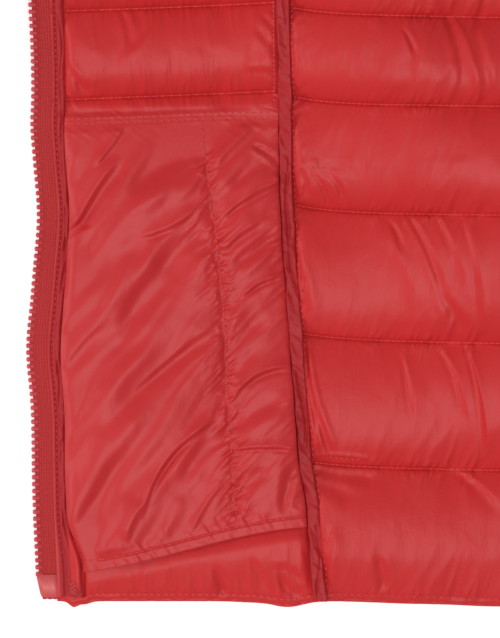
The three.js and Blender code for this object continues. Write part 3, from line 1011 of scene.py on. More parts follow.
@dataclass
class FrontPanels:
    """The two quilted panels of each open front, inside up."""

    wardrobe: Wardrobe
    seam_thick: float = 2.5
    loft: float = 7.4
    covered_loft: float = 4.6
    binding_from: float = 9.3
    binding_ground: float = 5.2
    seam_ground: float = 1.6
    puff_rise: float = 5.5
    hem_roll: float = 1.0
    roll_out: float = 5.0

    def drop(self, place: PanelPlace, u: Array, v: Array) -> Array:
        """How far a quilting line has risen at u above its height at the zip.

        Args:
            place: Which panel.
            u: Across the front.
            v: Up the front.

        Returns:
            The rise at each point.
        """
        if place is PanelPlace.FRONT:
            rise = 4.0 * (u - 14.0) / 100.0
        else:
            past = np.maximum(u - 114.0, 0.0)
            rise = 1.0 - 3.6 * (1.0 - np.exp(-past / 18.0)) - 0.015 * past
        return rise * smooth(v / 50.0)

    def height(self, place: PanelPlace, u: Array, v: Array, seed: int) -> Array:
        """Height of a panel's upper side above what it lies on.

        Args:
            place: Which panel.
            u: Across the front.
            v: Up the front.
            seed: Which set of small folds.

        Returns:
            The height at each point.
        """
        front = place is PanelPlace.FRONT
        seam = LAY.seam(v)
        puff, away, _ = QUILT.channel(v - self.drop(place, u, v))
        if front:
            inside = np.minimum(u - self.binding_from - self.binding_ground, seam - self.seam_ground - u)
            under_bag = smooth((PocketBags.TOP + 1.0 - v) / 5.0)
            under_bag = under_bag * smooth((v - PocketBags.foot(u) + 6.0) / 7.5)
            under_bag = under_bag * smooth((seam - u) / 5.0)
            low = 1.0 - 0.25 * smooth((PocketBags.TOP + 2.0 - v) / 5.0) * (1.0 - smooth((216.0 - v) / 60.0))
            loft = mix(self.loft, self.covered_loft, under_bag) * low
        else:
            inside = u - seam - self.seam_ground
            under_bag = np.zeros_like(u)
            loft = self.loft
        rise = rounded(inside / self.puff_rise)
        lumps = 1.0 + 0.09 * billows(u / 34.0, v / 26.0, seed, 2)
        body = loft * puff * rise * lumps * (0.66 + 0.34 * smooth(v / 21.0))
        lean = 0.05 if front else -0.34
        share = 0.8 + (0.4 if front else 0.9) * smooth((u - (55.0 if front else 140.0)) / 45.0)
        sizes = ((1.3, 2.6, 0.80), (2.3, 5.5, 0.85), (4.2, 11.0, 0.65), (9.0, 20.0, 0.70))
        pleats = gathered(u, away, seed + 10, *((*size, lean) for size in sizes)) * share
        toward_seam = np.maximum(seam - u if front else u - seam, 0.0)
        side_pleats = Gathers(1.3, 2.4, 1.2, -0.4 if front else -0.5, seed + 14).height(v, toward_seam - 2.4)
        wide_pleats = Gathers(4.5, 6.0, 0.70, -0.5 if front else -0.6, seed + 15)
        side_pleats = side_pleats + wide_pleats.height(v, toward_seam - 2.0)
        folds = creased(u, v, FRONT_CREASES if front else SIDE_CREASES)
        soft = 0.26 * billows(u / 12.0, v / 15.0, seed + 3, 3)
        quiet = rise * (1.0 - 0.85 * under_bag)
        past_roll = rounded((v - self.hem_roll) / 4.0)
        shown = past_roll * (body + quiet * (pleats + side_pleats + folds + soft * puff))
        roll = 0.35 * bell((v - 0.5) / 0.6)
        roll = roll + 0.35 * noise(u / 2.2, v, seed + 16) * (v < self.hem_roll)
        if front:
            beside = u - (15.0 + 6.1 * smooth((37.0 - v) / 24.0))
            gully = 3.6 * bell(beside / 0.9) * smooth((44.0 - v) / 8.0) * smooth((v - 1.5) / 2.0)
            shown = np.maximum(shown - gully, -1.6)
        edge = 2.0 * (1.0 - rounded((v + 1.25) / 1.9)) + 0.7 * bell(away / 0.6)
        return np.maximum(self.seam_thick + shown + roll - edge, 0.6)

    def points(self, place: PanelPlace, seed: int, u: Array, v: Array) -> Array:
        """The points of a panel's upper side at u and v, with one set of small folds."""
        x, y = LAY.front(u, v)
        return pack(x, y, LAY.support(x, y) + self.height(place, u, v, seed))

    def columns(self, place: PanelPlace, fine: float) -> Array:
        """Where a panel's columns lie, as shares across it from the zip side."""
        side = ((0.0, 0.52, 1.1 * fine / 180.0), (0.52, 1.0, 3.4 * fine / 180.0))
        return spread((0.0, 1.0, 1.15 * fine / 100.0)) if place is PanelPlace.FRONT else spread(*side)

    def rows(self, place: PanelPlace, top: float, fine: float) -> Array:
        """Where a panel's rows lie: apart where the bag hides it and up towards the shoulder.

        Args:
            place: Which panel.
            top: Its highest row.
            fine: Step where the cloth shows best.

        Returns:
            The heights.
        """

        def step(v: float) -> float:
            """The widest step at v."""
            hidden = place is PanelPlace.FRONT and 34.0 < v < 205.0
            return fine * (7.0 if v > 520.0 else 15.0 if hidden or v > LAY.detail_top else 4.2)

        return np.array([-1.2, -0.9, -0.5, 0.0, 0.7, 1.4, 1.9, *QUILT.rows(2.4, top, step)])

    def build(self, place: PanelPlace, side: Side, fine: float, seed: int) -> Object:
        """Makes one panel, with its edge rolled over where it folds.

        Args:
            place: Which panel.
            side: Which front.
            fine: Step between points where the cloth shows best.
            seed: Which set of small folds.

        Returns:
            The piece.
        """
        front = place is PanelPlace.FRONT
        top = LAY.front_shoulder if front else LAY.side_top
        share, row = np.meshgrid(self.columns(place, fine), self.rows(place, top, fine))
        v = row
        for _ in range(3):
            start = np.full_like(v, self.binding_from) if front else LAY.seam(v) + 0.15
            stop = np.minimum(LAY.seam(v) - 0.15, LAY.flap_fold(v)) if front else LAY.flap_fold(v)
            u = mix(start, stop, share)
            fade = 1.0 - smooth((row - top + 60.0) / 55.0)
            v = row + self.drop(place, u, row) * fade
            if front:
                bend = smooth((row - 520.0) / 130.0)
                v = mix(v, row * LAY.front_neck(u) / LAY.front_shoulder, bend)
        upper = self.points(place, seed, u, v)
        x, y = upper[..., 0], upper[..., 1]
        under = pack(x, y, LAY.support(x, y))
        under[..., 2] += np.where(v < 0.0, 0.4, 0.0)
        places = pack(u, v)
        folded = LAY.flap_fold(v[:, -1]) - u[:, -1] < 0.5
        if folded.any():
            upper, under, places = self.rolled(upper, under, places, folded)
        node = f"{'front' if front else 'side'}_panel_{side.label}"
        piece = self.wardrobe.wall(node, Wardrobe.SHELL, side, upper, under, places)
        return piece

    def rolled(self, upper: Array, under: Array, places: Array, folded: Array) -> tuple[Array, Array, Array]:
        """Carries a panel's edge round the fold and under itself.

        Args:
            upper: The upper side's points.
            under: The under side's points.
            places: Their pattern coordinates.
            folded: Which rows end at the fold.

        Returns:
            The three with the roll's columns added.
        """
        turn = np.linspace(0.0, math.pi * 0.92, 12)[1:]
        edge, low = upper[:, -1], 5.0
        ease = smooth((edge[:, 1] - 40.0) / 90.0) * folded
        middle = (edge[:, 2] + low) / 2.0
        radius = np.maximum(edge[:, 2] - middle, 0.5)
        out = np.array([math.cos(LAY.fold_tilt), -math.sin(LAY.fold_tilt)])
        extra, extra_places = [], []
        for angle in turn:
            ring = edge.copy()
            ring[:, :2] += out[None, :] * (self.roll_out * math.sin(angle) * ease)[:, None]
            ring[:, 2] = mix(edge[:, 2], middle + radius * math.cos(angle), ease)
            ring[:, 2] = np.maximum(ring[:, 2] - (1.0 - ease) * 2.0 * angle / math.pi, 0.3)
            extra.append(ring)
            extra_places.append(places[:, -1] + np.array([angle * 7.0, 0.0]))
        upper = np.concatenate([upper, np.stack(extra, 1)], 1)
        tucked = np.stack([extra[-1]] * len(turn), 1)
        tucked[..., 2] = np.minimum(tucked[..., 2], np.repeat(under[:, -1:, 2], len(turn), 1))
        tucked[..., 2] = np.where(folded[:, None], tucked[..., 2], under[:, -1:, 2])
        under = np.concatenate([under, tucked], 1)
        places = np.concatenate([places, np.stack(extra_places, 1)], 1)
        return upper, under, places


@dataclass
class HiddenPleats:
    """The pad of hidden layers between each fold and its side seam and armhole."""

    wardrobe: Wardrobe
    low: float = 4.6
    high: float = 16.4
    start: float = 160.0

    def build(self, side: Side) -> Object:
        """Makes one pad, rounded along its edges and layered there.

        Args:
            side: Which front.

        Returns:
            The piece.
        """
        rows = spread((self.start, LAY.shoulder_high - 14.0, 9.0))
        share, y = np.meshgrid(spread((0.0, 1.0, 0.05)), rows)
        outer = LAY.body_half(np.minimum(y, LAY.shoulder_low)) - np.where(y < LAY.underarm, 7.5, 0.4)
        x = -mix(LAY.fold_half(y), outer, share)
        y = np.minimum(y, LAY.back_top(x) - 1.5)
        nose = rounded(np.minimum(share, 1.0 - share) / 0.1)
        layer = 0.5 * np.sin(share * 40.0)
        middle, half = (self.low + self.high) / 2.0, (self.high - self.low) / 2.0
        reach = np.maximum(half * nose + layer * nose, 1.5)
        top = pack(x, y, middle + np.minimum(reach, half))
        under = pack(x, y, middle - half * nose)
        node, places = f"folded_side_{side.label}", pack(x, y)
        piece = self.wardrobe.wall(node, Wardrobe.BACKING, side, top, under, places, 1)
        return piece


# ---- pockets ----

BAG_CREASES = creases(
    trough=(
        (14.5, 156.5, 22, 163, 0.6, 1.4, 1.4), (44, 177, 69, 195.5, 1.2, 4.6, 1.4),
        (54, 140, 76, 160, 1, 4.6, 1.5), (40, 116, 66, 146, 1.5, 5.2, 1.5), (22, 134, 46, 155, 1.5, 5, 1),
        (15.5, 78, 46, 116, 1.8, 4.6, 1.3), (33, 73, 68, 113, 1.5, 4.6, 1.3), (24, 33, 43, 63, 1, 5.8, 1.3),
        (66, 52, 80, 70, 1.5, 3, 0.7), (87, 178, 103, 190.5, 1, 2.4, 0.8), (86, 143, 110, 158, 1, 2.8, 1),
        (82, 105, 99, 122, 1, 3.4, 0.9), (88, 74, 108, 86, 1.5, 3.4, 0.8), (89, 44, 102, 56, 1, 3.2, 0.8),
        (109, 38, 113.5, 58, 0.8, 2, 1), (96, 196, 108.5, 188, 0.5, 1.3, 0.8),
    ),
    fold=(
        (27.5, 188, 41, 205.5, -0.8, 2, 1.3), (16, 159, 37, 190, 1.5, 3.4, 1.7),
        (48.5, 157, 72.5, 169.5, -1.5, 2.2, 1), (15, 100, 33, 122, 1, 4, 0.9),
        (46, 92, 79, 119.5, 1, 3.4, 1), (48.5, 39, 79.5, 78, 5.5, 2, 1.4), (41, 26, 48.5, 42, 1, 2.4, 1),
        (70, 31, 82, 50, 1, 2.2, 0.9), (79, 187, 97, 205.5, 1, 3.2, 0.9),
        (82, 165, 109.5, 182, 1.5, 2.2, 1.1), (80.5, 149, 100, 164.5, 1, 2.4, 1),
        (91.5, 131, 107, 140, 1.5, 1.6, 1.2), (86, 85.5, 112.5, 101, 4.5, 1.9, 1.3),
        (86, 64.5, 114, 65.5, 1.2, 1.3, 1),
    ),
    ridge=(
        (41, 166, 72, 178.5, 1.5, 3.8, 0.8), (31, 122, 56, 148, 1, 4, 0.7), (18, 188, 27, 204, 0.5, 3, 0.7),
        (24, 52, 47, 84, 1, 5.5, 0.7), (58, 27, 66, 44, 1, 3, 0.6), (83, 118, 108, 138, 1.5, 3.6, 0.9),
    ),
)


@dataclass
class PocketBags:
    """The loose inner pocket bag of each front, hemmed top and bottom."""

    wardrobe: Wardrobe
    TOP = 212.6
    from_zip: float = 14.6
    thick: float = 0.7
    hem: float = 4.6
    lift: float = 7.2

    def left_edge(self, v: Array) -> Array:
        """How far across the bag's zip side lies at height v."""
        return self.from_zip + 0.3 * noise(v / 19.0, 0.0, 61) + 6.6 * smooth((37.0 - v) / 24.0)

    @staticmethod
    def foot(u: Array) -> Array:
        """Height of the bag's free lower edge."""
        return mix(11.0, 31.5, smooth((u - 8.0) / 118.0))

    @staticmethod
    def head(u: Array) -> Array:
        """Height of the bag's upper edge."""
        return 210.6 + 2.6 * smooth((u - 14.0) / 90.0)

    def pucker(self, v: Array) -> Array:
        """The puckered line of stitches.

        Args:
            v: Up the front.

        Returns:
            How far across it lies.
        """
        t = (v - 35.0) / 172.0
        line = 88.9 - 14.6 * t + 2.2 * np.sin(math.pi * t) * (1.0 - t) - 0.9 * np.sin(7.5 * t)
        return line + 0.45 * noise(v / 7.0, 0.0, 63)

    def right_edge(self, v: Array) -> Array:
        """How far across the bag's sewn edge lies at height v."""
        return LAY.seam(v) + LAY.seam_sway(v) - 2.85

    def height(self, u: Array, v: Array, seed: int) -> Array:
        """Height of the bag's upper side above what the front lies on.

        Args:
            u: Across the front.
            v: Up the front.
            seed: Which set of small folds.

        Returns:
            The height at each point.
        """
        right = self.right_edge(v)
        below, above = v - self.foot(u), self.head(u) - v
        left = u - self.left_edge(v)
        fill = rounded((left + 1.2) / 5.0) * (0.45 + 0.55 * smooth((left + 4.0) / 30.0))
        fill = fill * (0.60 + 0.40 * rounded((right - u) / 16.0))
        fill = fill * (0.14 + 0.86 * smooth((above + 6.0) / 46.0)) * (0.80 + 0.20 * smooth(below / 22.0))
        away = u - self.pucker(v)
        loose = smooth((below - self.hem) / 4.0) * smooth((above - self.hem - 1.0) / 4.0)
        pinch = 0.55 * np.exp(-np.abs(away / 0.8) ** 1.3) + 0.9 * bell(away / 4.5)
        pleats = (
            Gathers(1.5, 2.1, 2.20, 0.0, seed + 1).height(v - 0.5 * away, away)
            + Gathers(2.9, 4.2, 1.65, 0.0, seed + 2).height(v - 0.9 * away, away)
            + Gathers(6.0, 8.0, 1.10, 0.0, seed + 3).height(v - 1.0 * away, away)
        )
        edge_pleats = Gathers(1.3, 2.6, 1.5, 0.5, seed + 4).height(v, right - u + 1.5)
        edge_pleats = edge_pleats + Gathers(3.4, 8.0, 1.2, 0.8, seed + 5).height(v, right - u + 1.0)
        edge_pleats = edge_pleats * mix(0.45, 1.3, smooth((v - 100.0) / 60.0))
        slope = (v * 0.60 - u * 0.80 + 3.0 * noise(u / 31.0, v / 31.0, seed + 12)) / 7.0
        drift = (u * 0.60 + v * 0.80) / 42.0
        soft = 1.75 * noise(slope / 1.7, drift, seed + 6) + 0.65 * noise(1.5 * slope, 1.6 * drift, seed + 7)
        soft = soft + 0.10 * billows(u / 5.0, v / 7.0, seed + 8, 2)
        folds = 1.3 * creased(u, v, BAG_CREASES)
        at_foot = 1.0 - smooth((below - self.hem - 0.2) / 0.9)
        at_head = 1.0 - smooth((above - 3.1) / 0.9)
        bands = 0.25 * at_foot + 0.5 * at_head - 0.35 * (1.0 - rounded(below / 0.9))
        bands = bands - 0.7 * bell((below - self.hem) / 0.5)
        bands = bands + swell(above, ((3.3, 0.5, -0.55), (5.4, 0.5, -0.45)))
        lip = 1.0 - smooth(above / 3.2)
        near_foot, near_head = 1.0 - smooth((below - 7.0) / 6.0), 1.0 - smooth((above - 8.0) / 8.0)
        foot_puckers = 0.40 * noise(u / 1.8 + below / 3.0, below / 6.0, seed + 9)
        foot_puckers = foot_puckers + 0.25 * noise(u / 5.0, below / 12.0, seed + 13)
        head_puckers = 0.28 * noise(u / 2.0 - above / 1.6, above / 6.0, seed + 10)
        head_puckers = head_puckers + 0.3 * noise(u / 6.0, above / 12.0, seed + 14)
        bands = bands + near_foot * foot_puckers + near_head * head_puckers
        calm = rounded((left + 0.5) / 3.0)
        shape = calm * (loose * (folds + soft + pleats + edge_pleats - pinch) + bands) - 0.9 * lip
        return self.lift * fill + shape + 2.9 + self.thick

    def points(self, panels: FrontPanels, seed: int, panel_seed: int, u: Array, v: Array) -> Array:
        """The bag's upper side, always clear of the quilting below it.

        Args:
            panels: The front that it lies on.
            seed: Which set of small folds.
            panel_seed: The same for the front.
            u: Across the front.
            v: Up the front.

        Returns:
            The points.
        """
        lip = 1.0 - smooth((self.head(u) - v) / 3.2)
        ground = panels.height(PanelPlace.FRONT, u, v, panel_seed)
        ground = ground + (self.thick + 0.3) * (1.0 - 0.85 * lip)
        gap = self.height(u, v, seed) - ground
        return LAY.laid(u, v, ground + 0.5 * (gap + np.sqrt(gap**2 + 0.5 * (1.0 - lip) + 0.01)))

    def build(self, panels: FrontPanels, side: Side, fine: float, seed: int, panel_seed: int) -> Object:
        """Makes one bag.

        Args:
            panels: The front that it lies on.
            side: Which front.
            fine: Step between points.
            seed: Which set of small folds.
            panel_seed: The same for the front.

        Returns:
            The piece.
        """
        share = spread((0.0, 1.0, 1.08 * fine / 98.0))
        climb = spread((0.0, 0.03, fine / 400.0), (0.03, 0.97, fine / 200.0), (0.97, 1.0, fine / 400.0))
        share, climb = np.meshgrid(share, climb)
        v = mix(12.0, self.TOP, climb)
        for _ in range(5):
            u = mix(self.left_edge(v), self.right_edge(v), share)
            v = mix(self.foot(u), self.head(u), climb)
        upper = self.points(panels, seed, panel_seed, u, v)
        thin = self.thick * (1.0 - 0.8 * (1.0 - smooth((self.head(u) - v) / 3.2)))
        under = upper - thin[..., None] * np.array([0.0, 0.0, 1.0])
        node, places = f"pocket_bag_{side.label}", pack(u, v)
        piece = self.wardrobe.wall(node, Wardrobe.BAG, side, upper, under, places, 2)
        return piece


# ---- bindings ----


@dataclass
class Bindings:
    """The folded strips over the front edge and over the panel seam's allowance."""

    wardrobe: Wardrobe
    edge_from: float = 9.5
    edge_to: float = 14.8
    seam_half: float = 2.9
    seat: float = 2.85
    cut_width: float = 0.012

    def strip(self, name: str, side: Side, u: Array, v: Array, z: Array, shown: float) -> Object:
        """A folded strip from its pattern points and its upper side's height.

        Args:
            name: The frame's node, without its side.
            side: Which front.
            u: Rows by columns across the front.
            v: The same, up the front.
            z: Height above what the front lies on.
            shown: How much of its cut width shows once it is folded, in metres. Not used.

        Returns:
            The piece.
        """
        top, under = (LAY.laid(u, v, high) for high in (z, np.minimum(self.seat, z - 0.25)))
        node, places = f"{name}_{side.label}", pack(u, v)
        piece = self.wardrobe.wall(node, Wardrobe.BINDING, side, top, under, places, 2)
        return piece

    def edge_profile(self, q: Array, v: Array, seed: int) -> Array:
        """Height of the front edge's binding: a narrow and a wide ridge with a stitched valley.

        Args:
            q: Share across, from the zip side.
            v: Up the front.
            seed: Which set of small folds.

        Returns:
            The height above what the front lies on.
        """
        valley = 0.24 + 0.05 * noise(v / 26.0, 0.0, seed)
        narrow = bell((q - 0.09) / 0.11)
        wide = np.clip(1.0 - ((q - 0.64) / 0.38) ** 2, 0.0, 1.0) ** 0.4
        cut = 1.0 - 0.8 * bell((q - valley) / 0.06)
        drawn = 0.40 * noise(v / 2.4 - q * 1.6, q * 1.2, seed + 1)
        drawn = drawn + 0.9 * noise(v / 8.0 - q * 1.6, q * 1.4, seed + 2)
        fold = 0.5 * bell((q - 0.62 - 0.22 * noise(v / 16.0, 0.0, seed + 4)) / 0.10)
        return self.seat + 0.35 + (0.8 * narrow + 1.5 * wide) * cut + (drawn - fold) * wide

    @staticmethod
    def flare(v: Array) -> Array:
        """How much wider the front edge's binding is where it is turned in at the hem."""
        return 5.8 * smooth((36.0 - v) / 22.0)

    def edge_points(self, seed: int, q: Array, v: Array) -> Array:
        """The upper side of the front edge's binding at shares q across it and heights v."""
        u = mix(self.edge_from + 0.3, self.edge_to + self.flare(v), q)
        return LAY.laid(u, v, self.edge_profile(q, v, seed))

    def build_edge(self, side: Side, fine: float, seed: int) -> Object:
        """Makes the front edge's binding, wider where it is turned in at the hem.

        Args:
            side: Which front.
            fine: Step between rows.
            seed: Which set of small folds.

        Returns:
            The piece.
        """
        rows = spread((1.0, LAY.detail_top, fine), (LAY.detail_top, LAY.front_neck_low - 1.0, 4.0 * fine))
        q, v = np.meshgrid(spread((0.0, 1.0, 0.05)), rows)
        flare = self.flare(v)
        sway = 0.35 * noise(v / 17.0, 0.0, seed + 3)
        start = self.edge_from + 0.3 + sway * 0.5
        u = mix(start + 0.15 * flare, self.edge_to + flare + sway * 0.4, q)
        return self.strip("edge_binding", side, u, v, self.edge_profile(q, v, seed), 0.007)

    def seam_profile(self, q: Array, v: Array, seed: int) -> Array:
        """Height of the seam allowance's binding: two ridges that rise towards the pocket side.

        Args:
            q: Share across, from the pocket side.
            v: Up the front.
            seed: Which set of small folds.

        Returns:
            The height above what the front lies on.
        """
        groove = 0.55 + 0.30 * noise(v / 19.0, 0.0, seed)
        left = 0.45 + 0.40 * noise(v / 13.0, 0.0, seed + 5)
        right = 0.50 + 0.35 * noise(v / 11.0 + 30.0, 0.0, seed + 6)
        body = mix(left, 1.0, rounded(q / 0.16)) * mix(right, 1.0, rounded((1.0 - q) / 0.12))
        cut = bell((q - groove) / 0.11) * smooth(0.5 + 1.6 * noise(v / 15.0, 0.0, seed + 4))
        slope = 1.5 * (0.5 - q) * noise(v / 27.0, 0.0, seed + 3)
        ripple = 0.34 * noise(v / 1.9 + 2.0 * q, q * 2.0, seed + 1)
        ripple = ripple + 0.75 * noise(v / 6.0 + 1.5 * q, q * 1.5, seed + 2)
        return self.seat + 0.3 + body * (4.7 - 0.9 * cut + slope + ripple)

    def build_seam(self, side: Side, fine: float, seed: int) -> Object:
        """Makes the panel seam's binding.

        Args:
            side: Which front.
            fine: Step between rows.
            seed: Which set of small folds.

        Returns:
            The piece.
        """
        rows = spread((-0.9, LAY.detail_top, fine), (LAY.detail_top, LAY.side_top - 22.0, 4.0 * fine))
        q, v = np.meshgrid(spread((0.0, 1.0, 0.05)), rows)
        u = LAY.seam(v) + LAY.seam_sway(v) + mix(-self.seam_half, self.seam_half + 0.3, q)
        return self.strip("seam_binding", side, u, v, self.seam_profile(q, v, seed), 0.009)


# ---- the zip ----


@dataclass
class Zip:
    """The zip's tapes, moulded teeth, insertion pin, box, slider and ribbon."""

    wardrobe: Wardrobe
    tape_from: float = 1.25
    tape_to: float = 9.6
    tape_low: float = 0.5
    tape_thick: float = 0.9
    tooth_pitch: float = 3.0
    teeth_from: float = 10.5
    tooth_sections: tuple[tuple[float, ...], ...] = (  # along it, half its width, low side and high side
        (-0.15, 0.50, 0.7, 1.5), (0.10, 0.86, 0.35, 1.95), (0.60, 1.04, 0.15, 2.30),
        (1.20, 0.84, 0.15, 2.05), (2.80, 0.86, 0.15, 1.85), (3.40, 0.55, 0.4, 1.50),
    )

    def build_tape(self, side: Side, fine: float) -> Object:
        """Makes one tape, cut slantwise at the hem.

        Args:
            side: Which front.
            fine: Step between rows.

        Returns:
            The piece.
        """
        rows = spread((0.0, LAY.detail_top, fine), (LAY.detail_top, LAY.front_neck_low, 3.0 * fine))
        q, v = np.meshgrid(spread((0.0, 1.0, 0.0625)), rows)
        u = mix(self.tape_from + 1.6 * smooth((9.0 - v) / 9.0), self.tape_to, q)
        cord = 0.35 * bell((u - 2.0) / 0.8)
        z = self.tape_low + self.tape_thick + cord + 0.10 * noise(v / 8.0, u / 5.0, 3)
        scallop = 0.35 * np.abs(np.sin(u * 1.3)) * (v < 0.5)
        top, under = (LAY.laid(u, v - scallop, high) for high in (z, self.tape_low))
        node, places = f"zip_tape_{side.label}", pack(u, v)
        piece = self.wardrobe.wall(node, Wardrobe.TAPE, side, top, under, places, 2)
        return piece

    def tooth(self) -> Object:
        """One tooth, pointing along -X from the tape's edge, for the copies.

        Returns:
            The tooth.
        """
        half = [(-1, 0.3), (-1, 0.75), (-0.6, 1), (0.6, 1)]
        corners = half + [(1, 0.75), (1, 0.3), (0.6, 0), (-0.6, 0)]
        points, faces, n = [], [], len(corners)
        for u, half_width, low, high in self.tooth_sections:
            for across, up in corners:
                points.append((u * MM, across * half_width * MM, mix(low, high, up) * MM))
        for k in range(len(self.tooth_sections) - 1):
            for i in range(n):
                a, b = k * n + i, k * n + (i + 1) % n
                faces.append((a, a + n, b + n, b))
        faces.append(tuple(range(n)))
        faces.append(tuple(range(len(points) - 1, len(points) - n - 1, -1)))
        mesh = bpy.data.meshes.new("tooth")
        mesh.from_pydata(points, [], faces)
        mesh.update()
        return link("tooth", mesh)

    def build_teeth(self, side: Side, copier: Copier) -> Object:
        """Sets a row of teeth along one tape.

        Args:
            side: Which front.
            copier: What sets the copies.

        Returns:
            The piece.
        """
        offset = 0.0 if side is Side.RIGHT else self.tooth_pitch / 2.0
        v = np.arange(self.teeth_from + offset, LAY.front_neck_low - 4.0, self.tooth_pitch)
        x, y = LAY.flap(np.zeros_like(v), v)
        x2, y2 = LAY.flap(np.zeros_like(v), v + 0.5)
        points = pack(x, y, LAY.support(x, y))
        up = pack(x2 - x, y2 - y, 0.0)
        up /= np.linalg.norm(up, axis=1)[:, None]
        across = pack(up[:, 1], -up[:, 0], 0.0)
        finish = self.wardrobe.TEETH
        tooth, material = self.tooth(), self.wardrobe.of(finish)
        piece = copier.place(f"zip_teeth_{side.label}", tooth, side, points, across, material, 0.02)
        bpy.data.objects.remove(tooth)
        return settle(piece, finish)

    def block(self, name: str, side: Side, table: Sequence[Section], finish: Finish, *nodes: str) -> Object:
        """A moulded piece from sections up the front.

        Args:
            name: The piece's name.
            side: Which front.
            table: Its sections.
            finish: Its finish.
            nodes: The frame's nodes that it stands for.

        Returns:
            The piece.
        """
        low_corners = [(0, 0.2), (0.2, 0), (0.8, 0), (1, 0.2)]
        corners = np.array(low_corners + [(1, 0.8), (0.8, 1), (0.2, 1), (0, 0.8)])
        parts, rings = MeshParts(), []
        for v, start, stop, low, high in table:
            u = mix(start, stop, corners[:, 0])
            ring = LAY.laid(u, np.full_like(u, v), mix(low, high, corners[:, 1]))
            rings.append(np.concatenate([ring, ring[:1]]))
        first, last = (np.broadcast_to(ring.mean(0), ring.shape) for ring in (rings[0], rings[-1]))
        grid = np.stack([first, *rings, last])
        parts.grid(grid, grid[..., :2])
        piece = parts.object(name, self.wardrobe.of(finish), side)
        return settle(piece, finish, *nodes)

    def build_ends(self) -> None:
        """Makes the pin and film of the right front, and the box, slider and ribbon of the left."""
        film, plastic, binding = self.wardrobe.FILM, self.wardrobe.TEETH, self.wardrobe.BINDING
        ends = (
            (0.4, 3.4, 9.8, 1.5, 2.35), (5, 1.6, 9.6, 1.6, 2.45), (10.4, 0.3, 9.4, 1.5, 2.35),
        )
        pin = (
            (0.6, 2.5, 3.6, 0.5, 1.9), (2, 1.8, 3.3, 0.3, 2.2), (9, 0.4, 2.2, 0.3, 2.2),
            (10.6, 0.5, 1.9, 0.5, 2),
        )
        box = (
            (0.2, -2.2, 3.2, 0.5, 2.8), (1, -2.7, 3.4, 0.2, 3.2), (6.4, -3.9, 2.2, 0.2, 3.2),
            (7.4, -3.6, 2, 0.5, 2.9),
        )
        slider = (
            (8, -2.6, 1, 1, 3.6), (8.8, -3.9, 1.6, 0.3, 4.6), (12.5, -4.6, 2.1, 0.2, 4.9),
            (16.4, -5, 1.6, 0.3, 4.7), (17.6, -3.6, 0.4, 1, 3.9),
        )
        ribbon = (
            (-33.5, -4.2, -1.6, 0.1, 1), (-26, -4.6, -1.2, 0.1, 1.4), (-12, -4.4, -1.4, 0.1, 1.2),
            (-1, -4, -1.6, 0.2, 1.3),
        )
        for side in Side:
            self.block(f"zip_film_{side.label}", side, ends, film)
        self.block("zip_insertion_pin", Side.RIGHT, pin, film, "zip_pin")
        self.block("zip_retaining_box", Side.LEFT, box, plastic, "zip_box")
        self.block("zip_slider_body", Side.LEFT, slider, plastic, "zip_slider")
        pull = self.block("zip_ribbon", Side.LEFT, ribbon, binding, "zip_pull_ribbon")


# ---- copies along lines ----


